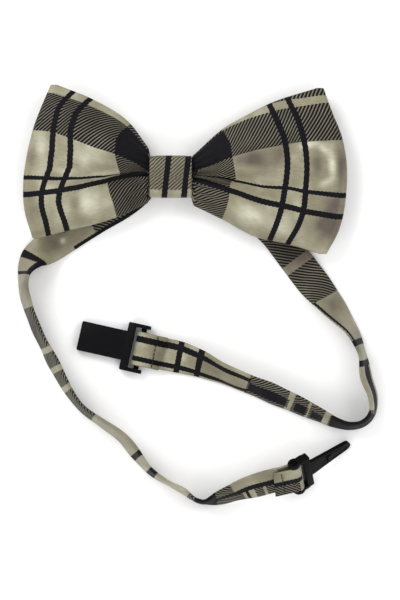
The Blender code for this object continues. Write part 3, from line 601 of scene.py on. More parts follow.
def thick_sheet(name, middle, half, cloth, material, closed=False):
    """Cloth with a thickness and round edges, about a middle surface of rows by columns.

    Each row becomes a ring: the row moved half the thickness along the normal, a half circle
    round its last edge, the row moved the other way, and a half circle round its first edge.
    The cloth's coordinates run on round the edge by the arc's length and back.
    The normal is the cross product of the steps along the rows and along the columns.
    """
    along = np.gradient(middle, axis=0)
    if closed:
        along = (np.roll(middle, -1, 0) - np.roll(middle, 1, 0)) / 2
    across = np.gradient(middle, axis=1)
    normal = unit(np.cross(along, across))
    half = np.broadcast_to(half, middle.shape[:2])[..., None]
    turn = np.radians([45.0, 90.0, 135.0])[None, :, None]

    def round_edge(column, outward):
        centre, level = middle[:, column, None], normal[:, column, None]
        return centre + half[:, column, None] * (np.cos(turn) * level + np.sin(turn) * outward[:, None])

    high = round_edge(-1, unit(across[:, -1]))
    low = round_edge(0, -unit(across[:, 0]))[:, ::-1]
    top, under = middle + half * normal, middle - half * normal
    ring = np.concatenate([top, high, under[:, ::-1], low], axis=1)

    def cloth_round_edge(edge, inner):
        step = unit(cloth[:, edge] - cloth[:, inner])
        run = half[np.arange(len(cloth)) % len(half), edge] * np.radians([45.0, 90.0, 45.0])
        return cloth[:, edge, None] + run[..., None] * step[:, None]

    edges = [cloth, cloth_round_edge(-1, -2), cloth[:, ::-1], cloth_round_edge(0, 1)]
    places = np.concatenate(edges, axis=1).reshape(-1, 2)
    rows, around = ring.shape[:2]
    quads = grid_quads(ring_grid(rows + closed, around))
    faces = (quads % (rows * around)).tolist()
    corners = quads.ravel()
    if not closed:
        caps = end_caps(middle.shape[1], around, (rows - 1) * around)
        faces += caps
        corners = np.concatenate([corners, *caps])
    return put_piece(name, ring.reshape(-1, 3), faces, corners, places, material)


def end_caps(columns, around, last):
    """Faces that close the first and last rings: each joins a stretch of the top to the stretch
    of the underside that lies below it."""
    near = np.arange(-1, columns + 1) % around
    far = (2 * columns + 2 - near) % around
    quads = np.stack([near[:-1], near[1:], far[1:], far[:-1]], axis=-1).tolist()
    tips = [[columns, columns + 1, columns + 2], [around - 2, around - 1, around - 3]]
    first = [face for face in quads if len(set(face)) == 4] + tips
    return first + [[corner + last for corner in face[::-1]] for face in first]


# ---------------------------------------------------------------- bow

def wing_plan(wing, outwards, upwards):
    """Plan positions over a wing: a patch blended from its four edges, as the sum of the two
    pairs of facing edges mixed linearly, less the four corners mixed both ways. The outer
    edge is drawn in, by a share of the way out, to leave room for the end fold."""
    top = curve_through(wing["top"], outwards)[:, None]
    bottom = curve_through(wing["bottom"], outwards)[:, None]
    fold = curve_through(wing["outer"][::-1], upwards)[None]
    knot = bottom[:1] + (top[:1] - bottom[:1]) * upwards[None, :, None]
    s, v = outwards[:, None, None], upwards[None, :, None]
    sides = (1 - s) * knot + s * fold + (1 - v) * bottom + v * top
    corners = (1 - s) * ((1 - v) * bottom[:1] + v * top[:1])
    corners = corners + s * ((1 - v) * bottom[-1:] + v * top[-1:])
    plan = sides - corners
    plan[..., 0] -= np.sign(plan[..., 0]) * (FOLD_RADIUS + CLOTH / 2) * s[..., 0]
    return plan


def paint_light_spots(piece, spots):
    """Stores painted highlight and shade at each point, how far the satin would turn to the light or away, as a sum
    of bell-shaped spots in plan."""
    mesh = piece.data
    points = np.empty(len(mesh.vertices) * 3, np.float32)
    mesh.vertices.foreach_get("co", points)
    points = points.reshape(-1, 3) / MM
    painted_light = np.zeros(len(points))
    for x, y, wide, tall, turn, rise in spots:
        cos, sin = math.cos(math.radians(turn)), math.sin(math.radians(turn))
        out, up = points[:, 0] - x, points[:, 1] - y
        painted_light += rise * np.exp(-(((out * cos + up * sin) / wide) ** 2) - ((up * cos - out * sin) / tall) ** 2)
    layer = mesh.attributes.new("painted_light", "FLOAT", "POINT")
    layer.data.foreach_set("value", painted_light.astype(np.float32))


def read_line(rows, places):
    """A guide line's value at places, in straight steps between its rows."""
    return np.interp(places, *np.array(rows).T)


def front_height(outwards, upwards, sett, dents):
    """The front layer puffs in two lobes above and below a crease that leaves the knot and fades
    outwards: a mix of |sin| across the wing, with a sharp valley, and one broad cosine dome.
    Gathers ripple at the knot, and soft dents are added as bell curves."""
    s, v = outwards[:, None], upwards[None]
    valley = read_line(sett["crease"], outwards)[:, None]
    w = np.where(v < valley, v / valley - 1, (v - valley) / (1 - valley))
    rim = FRONT_AT_KNOT + (FRONT_AT_FOLD - FRONT_AT_KNOT) * s
    crease = (1 - s) ** 0.7
    lobes = (1 - crease) * np.cos(np.pi * w / 2) ** 0.8 + crease * np.abs(np.sin(np.pi * w))
    swell = np.sin(np.pi * np.clip(s * 0.92 + 0.08, 0, 1)) ** 0.7
    height = rim + LOBE_HEIGHT * swell * lobes
    height += 0.4 * np.exp(-s / 0.15) * np.cos(GATHERS * np.pi * w)
    for at_s, at_v, wide_s, wide_v, rise in dents:
        height += rise * np.exp(-(((s - at_s) / wide_s) ** 2) - ((v - at_v) / wide_v) ** 2)
    return height


def place_in_sett(outwards, upwards, plan, sett):
    """The cloth's own place in mm at each point of a wing: along from the knot and across from
    below the thick line. Between two neighbouring lines it runs evenly."""
    tall = np.linalg.norm(plan[:, -1] - plan[:, 0], axis=1)
    wide = np.linalg.norm(plan[-1] - plan[0], axis=1)
    thick, thin, low, high, thin_width = (
        read_line(sett[name], outwards)
        for name in ("thick_run", "thin_run", "band_low", "band_high", "thin_width")
    )
    thick_half, thin_half = THICK_LINE / 2 / tall, thin_width / 2 / tall
    zero, one = np.zeros_like(thick), np.ones_like(thick)
    shares = [zero, thick - thick_half, thick + thick_half, thin - thin_half, thin + thin_half, low, high, one]
    shares = np.maximum.accumulate(np.stack(shares, axis=1), axis=1) + np.arange(8) * 1e-5
    top = np.minimum(UPWARD_SETT["band"][1] + (1 - high) * tall, sett["edge_band"])
    bottom = np.full_like(thick, 4.0)
    runs = [*UPWARD_SETT["thick"], *UPWARD_SETT["thin"], *UPWARD_SETT["band"]]
    values = np.column_stack([bottom, np.tile(runs, (len(thick), 1)), top])
    across = np.stack([np.interp(upwards, share, value) for share, value in zip(shares, values)])
    names = ("inner_stripe", "outer_stripe", "block_edge")
    inner, outer, block = (read_line(sett[name], upwards) for name in names)
    half = STRIPE_LINE / 2 / wide
    zero, one = np.zeros_like(inner), np.ones_like(inner)
    shares = np.stack([zero, block, inner - half, inner + half, outer - half, outer + half, one], axis=1)
    end = OUTWARD_SETT["outer"][1] + (1 - outer) * wide
    runs = [0.0, OUTWARD_SETT["block"], *OUTWARD_SETT["inner"], *OUTWARD_SETT["outer"]]
    values = np.column_stack([np.tile(runs, (len(inner), 1)), end])
    along = np.stack([np.interp(outwards, share, value) for share, value in zip(shares, values)], axis=1)
    return np.dstack([along, across])


def wing_cloth(name, wing, sett, dents, material):
    """One loop of the bow: gathered out of the knot, over the puffed front, round the fold at the
    wing's end in a half circle, and back behind. Rows run along the loop."""
    upwards = np.linspace(0, 1, WING_COLUMNS)
    out = np.linspace(0, 1, FRONT_ROWS)
    side = np.sign(wing["top"][0][0])
    plan = wing_plan(wing, out, upwards)
    front = np.dstack([plan, front_height(out, upwards, sett, dents)])
    back_out = np.linspace(0, 1, BACK_ROWS)
    level = BACK_LAYER_LOW + BACK_LAYER_RISE * back_out[:, None] + 0 * upwards[None]
    level = level + 0.25 * np.sin(3 * np.pi * upwards)[None] * np.sin(np.pi * back_out)[:, None]
    back = np.dstack([wing_plan(wing, back_out, upwards), level])[::-1]
    turn = np.radians(np.linspace(0, 180, FOLD_ROWS)[1:-1])[:, None]
    middle, rise = (front[-1] + back[0]) / 2, (front[-1, :, 2] - back[0, :, 2]) / 2
    fold = np.repeat(middle[None], len(turn), 0)
    fold[..., 0] += side * FOLD_RADIUS * np.sin(turn)
    fold[..., 2] += rise * np.cos(turn)
    neck = gathered_neck(front[0], side, *FRONT_NECK)
    tail = gathered_neck(back[-1], side, *BACK_NECK)[::-1]
    middle = np.concatenate([neck, front, fold, back, tail])
    place = place_in_sett(out, upwards, plan, sett)
    wide = np.linalg.norm(plan[-1] - plan[0], axis=1)
    neck_run, tail_run = np.linspace(-NECK_RUN[1], -NECK_RUN[0], len(neck)), np.linspace(*NECK_RUN, len(tail))
    neck_place = np.repeat(place[:1], len(neck), 0)
    neck_place[..., 0] = neck_run[:, None]
    # Behind the front layer the cloth runs on from its end: round the fold, back, and to the knot.
    around = np.linspace(0, FOLD_RUN, len(turn) + 2)[1:-1, None] + 0 * upwards
    behind = [around, FOLD_RUN + back_out[:, None] * wide, FOLD_RUN + wide + tail_run[:, None]]
    behind_place = np.repeat(place[-1:], sum(map(len, behind)), 0)
    behind_place[..., 0] += np.concatenate(behind)
    cloth = np.concatenate([neck_place, place, behind_place])
    if side < 0:
        middle, cloth = middle[:, ::-1], cloth[:, ::-1]
    piece = thick_sheet(name, middle, bpy.context.scene.tie_sizes.cloth / MM / 2, cloth, material)
    # Painted highlight and shade for the satin, stored on the wing's points.
    paint_light_spots(piece, BOW_PAINTED_LIGHT)
    return piece


def gathered_neck(edge, side, level, wave):
    """Rows from inside the knot to a wing's first row: the row drawn in towards the middle, and
    rippled into gathers that open out as it leaves the knot."""
    share = np.linspace(0, 1, 9)[:-1, None]
    ease = share**2 * (3 - 2 * share)
    gathered = np.empty_like(edge)
    v = np.linspace(0, 1, len(edge))
    gathered[:, 0] = side * NECK_OUT
    gathered[:, 1] = NECK_MIDDLE + (v - 0.5) * NECK_TALL
    gathered[:, 2] = level + wave * np.cos(GATHERS * np.pi * (2 * v - 1))
    rows = gathered[None] * (1 - ease[..., None]) + edge[None] * ease[..., None]
    rows[..., 0] = gathered[None, :, 0] * (1 - share) + edge[None, :, 0] * share
    return rows


# ---------------------------------------------------------------- knot

def rounded_ring(half_width, low, high, radius, count):
    """Points evenly round a rectangle with round corners, from the middle of its top, their
    places along it and its whole length."""
    corner = np.radians(np.linspace(0, 90, 25))
    centres = [(half_width - radius, high - radius), (half_width - radius, low + radius)]
    centres += [(radius - half_width, low + radius), (radius - half_width, high - radius)]
    points = [np.array([[0.0, high]])]
    for quarter, (y, z) in enumerate(centres):
        angle = math.pi / 2 - corner - quarter * math.pi / 2
        points.append(np.stack([y + radius * np.cos(angle), z + radius * np.sin(angle)], axis=1))
    points = np.concatenate([*points, points[0]])
    along = arc_lengths(points)
    places = np.linspace(0, along[-1], count, endpoint=False)
    return points_at(places, along, points), places, along[-1]


def knot_ring(name, inset, wall, reach, material, softness):
    """A band round the knot's axis: a rounded rectangle swept along X, bowed out a little in its
    middle, with two soft pleats that run round it."""
    ring, places, length = rounded_ring(
        KNOT_HEIGHT / 2 - inset, inset, KNOT_DEPTH - inset, max(KNOT_CORNER - inset, 0.9), 120,
    )
    across = np.linspace(-1, 1, 56)
    half_wide = reach / 2 - wall
    centre = ring.mean(0)
    outward = unit(ring - centre)
    top = np.clip(outward[:, 1], 0, 1)[:, None]
    bulge = -KNOT_CROWN * across[None] ** 4
    for place, spread, depth in KNOT_PLEATS:
        bulge = bulge - depth * np.exp(-(((across[None] - place) / spread) ** 2))
    bulge = bulge * softness * (0.35 + 0.65 * top)
    points = np.empty((len(ring), len(across), 3))
    points[..., 0] = across[None] * half_wide
    points[..., 1:] = ring[:, None] + outward[:, None] * bulge[..., None]
    extended = np.append(places, length)
    y_of = np.append(ring[:, 0], ring[0, 0])
    cloth = np.empty((len(extended), len(across), 2))
    cloth[..., 0] = extended[:, None]
    cloth[..., 1] = across[None] * half_wide - KNOT_LEAN * y_of[:, None]
    points, cloth = points[:, ::-1], cloth[:, ::-1]
    return thick_sheet(name, points, wall / 2, cloth, material, closed=True)


def gathered_centre(name, material):
    """The bow's middle, pinched under the knot: oval sections along X whose outline is folded
    into deep pleats, closed over at both ends."""
    rows, around = 40, 144
    x = np.linspace(-1, 1, rows)
    angle = np.linspace(0, 2 * np.pi, around + 1)
    flare = (x**2)[:, None]
    waves = 1 - PLEAT_DEPTH * (1 + np.cos(PLEAT_COUNT * angle + 0.5 * np.sin(2 * x)[:, None]))
    closing = np.clip((1 - np.abs(x)) / 0.04, 0, 1)[:, None] ** 0.5
    wide = (PLEATS_WAIST[0] + PLEATS_FLARE[0] * flare) * waves * closing
    deep = (PLEATS_WAIST[1] + PLEATS_FLARE[1] * flare) * waves * closing
    run = np.repeat(x[:, None] * PLEATS_LENGTH / 2, around + 1, 1)
    points = np.dstack([run, wide * np.cos(angle), PLEATS_MIDDLE + deep * np.sin(angle)])
    cloth = np.dstack([run, np.repeat(angle[None] * 7.0, rows, 0)]).reshape(-1, 2)
    corners = grid_quads(np.arange(rows * (around + 1)).reshape(rows, -1))[:, ::-1].ravel()
    faces = grid_quads(ring_grid(rows, around))[:, ::-1].tolist()
    piece = put_piece(name, points[:, :-1].reshape(-1, 3), faces, corners, cloth, material)
    merge_points(piece.data)
    return piece


# ---------------------------------------------------------------- strap

def strand(route, lanes):
    """A strap's centres, width directions, face normals and lengths, every 0.6 mm of its route
    and just before and after each change of lane.

    The roll turns the width direction from level about the run, and the centre rises by half the
    width times the roll's sine, so the lower edge stays on the table.
    """
    rows = smooth_line(route, ROW_STEP)
    roll = np.radians(rows[:, 2])
    height = STRAP_WIDTH / 2 * np.abs(np.sin(roll)) + STRAP_THICKNESS / 2 * np.cos(roll)
    centres = np.stack([rows[:, 0], rows[:, 1], height + rows[:, 3]], axis=1)
    run = unit(np.gradient(centres, axis=0))
    level = unit(np.cross([0.0, 0.0, 1.0], run))
    upright = np.cross(run, level)
    cos, sin = np.cos(roll)[:, None], np.sin(roll)[:, None]
    length = arc_lengths(centres[:, :2])
    changes = np.array([start for start, _ in lanes[1:]])
    places = np.sort(np.concatenate([length, changes - LANE_EDGE, changes + LANE_EDGE]))
    parts = (centres, cos * level + sin * upright, cos * upright - sin * level)
    centres, across, face = (points_at(places, length, part) for part in parts)
    return centres, unit(across), unit(face), places


def strap_cloth(name, pieces, start, end, material, lanes):
    """A stretch of strap between two rows, and its length: a straight section across the width
    with slow sine wrinkles that fade towards its edges, and thinner at those pressed edges."""
    sizes = bpy.context.scene.tie_sizes
    centres, across, face, length = (part[start:end] for part in pieces)
    half = sizes.strap / MM / 2
    share = np.linspace(-1, 1, 25)
    reach = STRAP_WIDTH / 2 - half * 0.6
    u, v = length[:, None], share[None]
    wrinkle = np.sin(u / 3.1 + 1) * np.cos(2.2 * v + u / 7.3) + 0.6 * np.sin(u / 1.9 + 2.4 * v + 2)
    rise = sizes.wrinkle / MM * wrinkle * (1 - 0.4 * v**2)
    middle = centres[:, None] + across[:, None] * (share * reach)[None, :, None] + face[:, None] * rise[..., None]
    thickness = half * (1 - 0.42 * v**8) * (1 + 0 * u)
    starts, numbers = np.array(lanes).T
    lane = numbers[np.searchsorted(starts, length, side="right") - 1]
    cloth = np.dstack([np.repeat(u, len(share), 1), lane[:, None] * LANE + (share * reach)[None]])
    cloth[..., 0] += PLAIN_SHIFT * ((lane[:, None] == PIECED_LANE) & (v > 0) & (u > PIECED_START))
    piece = thick_sheet(name, middle[:, ::-1], thickness, cloth[:, ::-1], material)
    # Painted highlight and shade for the satin, stored on the strap's points.
    paint_light_spots(piece, STRAP_PAINTED_LIGHT)
    return piece, float(length[-1] - length[0])


def nearest_row(pieces, place):
    """The strand's row that lies nearest to a place in plan."""
    return int(np.argmin(np.linalg.norm(pieces[0][:, :2] - np.array(place), axis=1)))


# ---------------------------------------------------------------- clasp

def local_axes(along, bar):
    """A frame at a pin: X along, Y near the bar, Z across both, as columns."""
    along = unit(np.array(along, float))
    bar = np.array(bar, float)
    bar = unit(bar - along * (bar @ along))
    return np.stack([along, bar, np.cross(along, bar)], axis=1)


def socket_axes():
    """The socket's axes: along its heading and a little down, with its bar level."""
    heading, pitch = math.radians(SOCKET_HEADING), math.radians(SOCKET_PITCH)
    along = (math.cos(heading) * math.cos(pitch), math.sin(heading) * math.cos(pitch), -math.sin(pitch))
    return local_axes(along, (-math.sin(heading), math.cos(heading), 0))


def left_turn_axes():
    """The left strap's end lies in line with the strap, across the tongue's leaning pin."""
    heading, drop, tilt = map(math.radians, (TONGUE_HEADING, TONGUE_DROP, TONGUE_TILT))
    lean = heading + math.acos(math.tan(drop) * math.tan(tilt))
    bar = np.array([math.cos(lean) * math.cos(tilt), math.sin(lean) * math.cos(tilt), math.sin(tilt)])
    heading = math.radians(LEFT_END_HEADING)
    strap = np.array([math.cos(heading), math.sin(heading), 0.0])
    return local_axes(strap - bar * (strap @ bar), bar)


def strap_turn(name, axes, pin, cloth_start, lane, material):
    """The strap's end turned round a pin: a flat layer, a half circle of the pin's clearance, and
    a flat layer back, carried along the pin. The layers lie against the strap between them."""
    turn = np.radians(np.linspace(-90, 90, 25))
    flat, spread = np.linspace(0, 1, 16)[:-1], TURN_RADIUS - TURN_LAYER
    lower = np.stack([TURN_LOWER * (flat - 1), -TURN_LAYER - spread * flat**2], axis=1)
    nose = TURN_RADIUS * np.stack([np.cos(turn), np.sin(turn)], axis=1)
    upper = np.stack([-TURN_UPPER * flat[::-1], TURN_LAYER + spread * (1 - flat[::-1]) ** 2], axis=1)
    profile = np.concatenate([lower, nose, upper])
    length = arc_lengths(profile)
    across = np.linspace(-1, 1, 22)
    local = np.empty((len(profile), len(across), 3))
    # The upper layer's free end is cut a little on the slant.
    local[..., 0] = profile[:, :1] + 0.045 * np.clip(length - 14, 0, None)[:, None] * across
    local[..., 1] = across[None] * (TURN_WIDTH / 2 - TURN_HALF)
    local[..., 2] = profile[:, 1:] + 0.05 * np.sin(5 * across[None] + length[:, None] / 2)
    middle = np.array(pin) + local @ axes.T
    cloth = np.empty((len(profile), len(across), 2))
    cloth[..., 0] = cloth_start + (length[-1] - length)[:, None]
    cloth[..., 1] = lane * LANE + local[..., 1]
    cloth[..., 0] += PLAIN_SHIFT * ((lane == PIECED_LANE) & (local[..., 1] > 0))
    piece = thick_sheet(name, middle, TURN_HALF, cloth, material)
    # Painted highlight and shade for the satin, stored on the turned end's points.
    paint_light_spots(piece, STRAP_PAINTED_LIGHT)
    return piece


def stitch_row(name, axes, pin, material):
    """A row of lock stitches across the turned end: short capsules, each an ellipsoid of a few
    rings, laid end to end along the pin's direction with a little slant."""
    ring, around = 7, 8
    theta = np.linspace(0, np.pi, ring)[:, None]
    phi = np.linspace(0, 2 * np.pi, around, endpoint=False)[None]
    slant, long, deep = STITCH_SIZE
    ball = [slant * np.sin(theta) * np.cos(phi), long * np.cos(theta) + 0 * phi, deep * np.sin(theta) * np.sin(phi)]
    ball = np.dstack(ball).reshape(-1, 3)
    places = np.linspace(-STITCH_REACH, STITCH_REACH, STITCHES)
    quads = grid_quads(ring_grid(ring, around))[:, [0, 3, 2, 1]]
    offsets = np.stack([STITCH_PLACE[0] + 0.06 * np.cos(9 * places), places, 0 * places + STITCH_PLACE[1]], axis=1)
    points = (ball[None] + offsets[:, None]).reshape(-1, 3)
    faces = (quads[None] + (np.arange(STITCHES) * ring * around)[:, None, None]).reshape(-1, 4)
    world = np.array(pin) + points @ axes.T
    piece = put_piece(name, world, faces.tolist(), faces.ravel(), points[:, :2], material)
    merge_points(piece.data)
    return piece


def softened_copy(name, node, width, material):
    """A copy of a hard CAD part with its edges rounded as a mould leaves them."""
    mesh = frame["nodes"][node].data.copy()
    mesh.name = name
    merge_points(mesh, flat=True)
    mesh.materials.clear()
    mesh.materials.append(material)
    mesh.shade_smooth()
    mesh.set_sharp_from_angle(angle=SHARP_ANGLE)
    piece = link_object(name, mesh)
    rounding = piece.modifiers.new("rounded_edges", "BEVEL")
    rounding.width = width * MM
    rounding.segments = 2
    rounding.limit_method = "ANGLE"
    rounding.angle_limit = SHARP_ANGLE
    rounding.harden_normals = True
    return piece


# ---------------------------------------------------------------- operators

def dress(piece, slot, body, *nodes):
    """Puts a piece under its body, if it has one, and hides the CAD nodes that it stands for; its colour slot is not
    used.
    """
    if body:
        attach(piece, body)
    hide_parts(*nodes)


class TIE_OT_bow(bpy.types.Operator):
    """Build the two cloth wings of the bow"""

    bl_idname = "tie.bow"
    bl_label = "Bow wings"

    def execute(self, context):
        along = {
            "dark": [(-5.0, OUTWARD_SETT["block"]), OUTWARD_SETT["next_block"]],
            "line": [OUTWARD_SETT["inner"], OUTWARD_SETT["outer"], (93.0, 95.0), (100.5, 102.5)],
        }
        across = {
            "dark": [UPWARD_SETT["band"], UPWARD_SETT["next_band"]],
            "line": [UPWARD_SETT["thick"], UPWARD_SETT["thin"]],
        }
        rows = (("left", LEFT_OUTLINE, LEFT_SETT, LEFT_DENTS, 1.0, 0.76, (0.058, 0.118), 0.0044),
                ("right", RIGHT_OUTLINE, RIGHT_SETT, RIGHT_DENTS, -1.0, 0.66, (0.063, 0.132), 0.0054))
        for side, wing, sett, dents, lean, black_share, flat, area in rows:
            name, reach = f"tartan_satin_{side}_wing", ((-5, 120), (0, 72))
            material = tartan_satin(name, along, across, reach, lean, lean, black_share)
            piece = wing_cloth("bow_cloth_" + side, wing, sett, dents, material)
            dress(piece, "tartan_satin", "bow", "bow_loop_" + side)
        return {"FINISHED"}


class TIE_OT_stiffeners(bpy.types.Operator):
    """Build the interlining inside each wing"""

    bl_idname = "tie.stiffeners"
    bl_label = "Interlinings"

    def execute(self, context):
        colours = context.scene.tie_colours
        material = fibrous("needled_wool_interlining", tuple(colours.lining), 0.5, 0.95, 0.12, 0.5)
        rows = (("left", LEFT_OUTLINE, (0.050, 0.044), 0.0016), ("right", RIGHT_OUTLINE, (0.054, 0.052), 0.0019))
        for side, wing, flat, area in rows:
            upwards, out = np.linspace(0.06, 0.94, 40), np.linspace(0.03, 0.95, 40)
            plan = wing_plan(wing, out, upwards)
            level = BACK_LAYER_LOW + BACK_LAYER_RISE * out + CLOTH / 2 + 0.5
            level = level[:, None] + 0.08 * np.sin(11 * upwards)[None] * np.sin(9 * out)[:, None]
            middle = np.dstack([plan, level])
            if wing is LEFT_OUTLINE:
                middle = middle[:, ::-1]
            piece = thick_sheet("bow_stiffener_" + side, middle, 0.2, middle[..., :2], material)
            dress(piece, "interlining", "bow", "bow_interfacing_" + side)
        return {"FINISHED"}


class TIE_OT_knot(bpy.types.Operator):
    """Build the knot's band, its lining and the gathered centre inside it"""

    bl_idname = "tie.knot"
    bl_label = "Knot"

    def execute(self, context):
        colours = context.scene.tie_colours
        ring_sett = {"dark": [(-6.0, 12.0), (43.6, 60.0)], "line": []}
        across = {"dark": [], "line": [(-2.65, -0.5), (4.55, 6.7)]}
        satin = tartan_satin("tartan_satin_knot", ring_sett, across, ((-8, 62), (-10, 10)), -1.0, 3.0, 0.34)
        band = knot_ring("knot_band", KNOT_WALL / 2, KNOT_WALL - 0.04, KNOT_WIDTH, satin, 1.0)
        dress(band, "tartan_satin", "bow", "knot_wrap")
        felt = fibrous("woven_cotton_interlining", tuple(colours.lining), 0.35, 0.92, 0.08, 0.4)
        inset = KNOT_WALL + GAP + LINER_WALL / 2
        liner = knot_ring("knot_liner", inset, LINER_WALL, KNOT_WIDTH - KNOT_WALL, felt, 0.0)
        dress(liner, "interlining", "bow", "knot_lining")
        pleat_sett = {"dark": [(-9, -1)], "line": []}
        pleats = {"dark": [(0, 11), (22, 33)], "line": [(15, 17)]}
        satin = tartan_satin("tartan_satin_pleats", pleat_sett, pleats, ((-9, 9), (0, 45)), 1.0, 5.0)
        centre = gathered_centre("gathered_centre", satin)
        dress(centre, "tartan_satin", "bow", "bow_centre_pleats")
        thread = fibrous("waxed_cotton_thread", tuple(colours.thread), 0.12, 0.8, 0.05, 0.5)
        frame["nodes"]["pinch_thread"].data.materials.clear()
        frame["nodes"]["pinch_thread"].data.materials.append(thread)
        return {"FINISHED"}


class TIE_OT_strap(bpy.types.Operator):
    """Build the neck strap in four stretches, each strand cut in two at a point along its route"""

    bl_idname = "tie.strap"
    bl_label = "Neck strap"

    def execute(self, context):
        left = tartan_satin(
            "tartan_satin_left_strap", LEFT_STRAND_ALONG, LEFT_STRAND_ACROSS, STRAND_REACH, 1.0, 7.0,
        )
        right = tartan_satin(
            "tartan_satin_right_strap", RIGHT_STRAND_ALONG, RIGHT_STRAND_ACROSS, STRAND_REACH, -1.0, 9.0,
        )
        rows = (
            ("left", LEFT_ROUTE, LEFT_CUT, LEFT_LANES, left, ("strap_centre", "strap_centre_lining"),
             ((-9, -0.5), (-27, -14.6)), ((8.4, -118.4), (13.6, -120.2)), "left_end"),
            ("right", RIGHT_ROUTE, RIGHT_CUT, RIGHT_LANES, right, (),
             ((9, -0.5), (27, -12.0)), ((74.2, -87.4), (69.2, -91.8)), "right_return"),
        )
        for side, route, cut, lanes, satin, more, swing, fold, last in rows:
            pieces = strand(route, lanes)
            row = nearest_row(pieces, cut)
            upper, run = strap_cloth(f"strap_{side}_near", pieces, 0, row + 1, satin, lanes)
            upper_nodes = (f"strap_{side}_upper", f"strap_{side}_upper_lining", *more)
            dress(upper, "tartan_satin", None, *upper_nodes)
            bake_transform(upper)
            lower, run = strap_cloth(f"strap_{side}_far", pieces, row, len(pieces[0]), satin, lanes)
            lower_nodes = [f"strap_{side}_lower", f"strap_{last}"]
            dress(lower, "tartan_satin", None, *lower_nodes, *(node + "_lining" for node in lower_nodes))
            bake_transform(lower)
        return {"FINISHED"}


class TIE_OT_turns(bpy.types.Operator):
    """Build the strap's ends, turned round the clasp's pins and stitched"""

    bl_idname = "tie.turns"
    bl_label = "Turned ends"

    def execute(self, context):
        colours = context.scene.tie_colours
        thread = fibrous("polyester_topstitch_thread", tuple(colours.thread), 0.15, 0.7, 0.05, 0.5)
        for side, axes, pin, start, lane in (
            ("right", socket_axes(), SOCKET_PIN, 205.0, 0), ("left", left_turn_axes(), TONGUE_PIN, 204.0, 4),
        ):
            satin = bpy.data.materials[f"tartan_satin_{side}_strap"]
            turn = strap_turn("strap_turn_" + side, axes, pin, start, lane, satin)
            dress(turn, "tartan_satin", side + "_strap_end", "strap_hoop_" + side)
            stitches = stitch_row("stitch_row_" + side, axes, pin, thread)
            dress(stitches, "black_thread", side + "_strap_end", "stitches_" + side)
        return {"FINISHED"}


class TIE_OT_clasp(bpy.types.Operator):
    """Finish the clasp: the socket, the tongue with its catch, and their pins"""

    bl_idname = "tie.clasp"
    bl_label = "Clasp"

    def execute(self, context):
        colours = context.scene.tie_colours
        plastic = moulded("moulded_acetal", tuple(colours.plastic))
        steel = moulded("lacquered_steel_wire", tuple(colours.plastic), 0.7)
        parts = (
            ("socket_body", "socket_housing", 0.28, plastic, "black_plastic"),
            ("tongue_body", "tongue_blade", 0.18, plastic, "black_plastic"),
            ("tongue_catch", "catch_leaf", 0.1, plastic, "black_plastic"),
            ("socket_crosspin", "socket_pin", 0.2, steel, "black_steel"),
            ("tongue_crosspin", "tongue_pin", 0.2, steel, "black_steel"),
        )
        members = frame["record"]["behaviour"]["bodies"]
        bodies = {node: body for body, nodes in members.items() for node in nodes}
        for name, node, width, material, slot in parts:
            dress(softened_copy(name, node, width, material), slot, bodies[node], node)
        return {"FINISHED"}


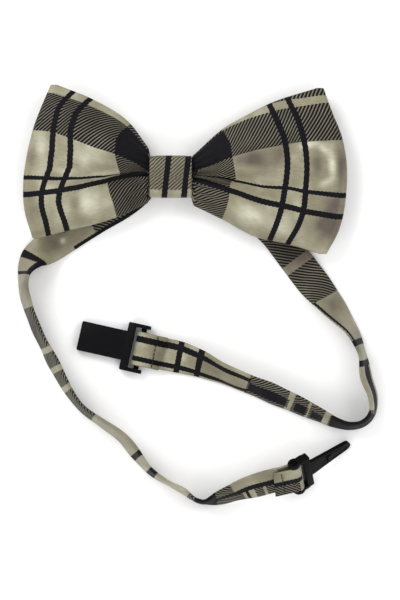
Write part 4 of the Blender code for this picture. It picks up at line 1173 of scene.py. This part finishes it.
class TIE_OT_stage(bpy.types.Operator):
    """Set the floor, the lights and the camera"""

    bl_idname = "tie.stage"
    bl_label = "Stage"

    def execute(self, context):
        scene, stage = context.scene, context.scene.tie_stage
        mesh = bpy.data.meshes.new("floor")
        mesh.from_pydata([(-3, -3, -5e-5), (3, -3, -5e-5), (3, 3, -5e-5), (-3, 3, -5e-5)], [], [(0, 1, 2, 3)])
        floor = link_object("floor", mesh)
        # Matt paper sweep: pale and even, with a trace of tooth.
        material, tree, shader = new_material("matt_paper_sweep")
        place = object_place(tree)
        tooth = noise(tree, place, 3.0, 3.0)
        pale = scene.tie_colours.floor
        shade = mix(tree, tooth, tone(pale), tone(pale, 0.985))
        set_surface(tree, shader, shade, remap(tree, tooth, 0.0, 1.0, 0.9, 0.95), tooth, 0.02, 0.1)
        shader.inputs["Specular IOR Level"].default_value = 0.1
        mesh.materials.append(material)
        target = Vector((0.0108, -0.0455, 0.0))
        # Softboxes: place from the target in metres, power and width.
        lights = (
            (-0.55, 0.6, 0.75, stage.key, 0.55), (0.7, 0.35, 0.8, stage.fill, 0.6),
            (0.35, -0.75, 0.75, stage.fill, 0.6), (-0.65, -0.6, 0.7, stage.fill, 0.6),
        )
        for number, (x, y, z, power, size) in enumerate(lights):
            lamp = bpy.data.lights.new(f"softbox_{number}", "AREA")
            lamp.size = size
            lamp.energy = power
            holder = link_object(lamp.name, lamp)
            holder.location = target + Vector((x, y, z))
            holder.rotation_euler = (target - holder.location).to_track_quat("-Z", "Y").to_euler()
        world = bpy.data.worlds.new("studio_room")
        world.use_nodes = True
        world.node_tree.nodes["Background"].inputs["Color"].default_value = (1.0, 1.0, 1.0, 1.0)
        world.node_tree.nodes["Background"].inputs["Strength"].default_value = stage.sky
        scene.world = world
        scene.view_settings.view_transform = "Standard"
        camera = bpy.data.cameras.new("overhead")
        distance, tall = 2.5, 0.222
        camera.sensor_width = 36.0
        camera.lens = camera.sensor_width * distance / tall
        camera.clip_end = 20.0
        holder = link_object("overhead", camera)
        holder.location = target + Vector((0.0, 0.0, distance))
        scene.camera = holder
        return {"FINISHED"}


OPERATORS = (TIE_OT_bow, TIE_OT_stiffeners, TIE_OT_knot, TIE_OT_strap, TIE_OT_turns, TIE_OT_clasp, TIE_OT_stage)
GROUPS = {"tie_colours": TieColours, "tie_sizes": TieSizes, "tie_stage": TieStage}


class TIE_PT_panel(bpy.types.Panel):
    """Lists the bow tie's pieces and its settings"""

    bl_label = "Bow Tie"
    bl_idname = "TIE_PT_panel"
    bl_space_type = "VIEW_3D"
    bl_region_type = "UI"
    bl_category = "Bow Tie"

    def draw(self, context):
        for kind in OPERATORS:
            self.layout.operator(kind.bl_idname, text=kind.bl_label)
        for name, group in GROUPS.items():
            for setting in group.__annotations__:
                self.layout.prop(getattr(context.scene, name), setting)


def register():
    for kind in (*GROUPS.values(), *OPERATORS, TIE_PT_panel):
        bpy.utils.register_class(kind)
    for name, group in GROUPS.items():
        setattr(bpy.types.Scene, name, bpy.props.PointerProperty(type=group))


def unregister():
    for name in GROUPS:
        delattr(bpy.types.Scene, name)
    for kind in reversed((*GROUPS.values(), *OPERATORS, TIE_PT_panel)):
        bpy.utils.unregister_class(kind)


def main():
    register()
    for name in ("knot", "bow", "stiffeners", "strap", "turns", "clasp", "stage"):
        getattr(bpy.ops.tie, name)()


if __name__ == "__main__":
    main()
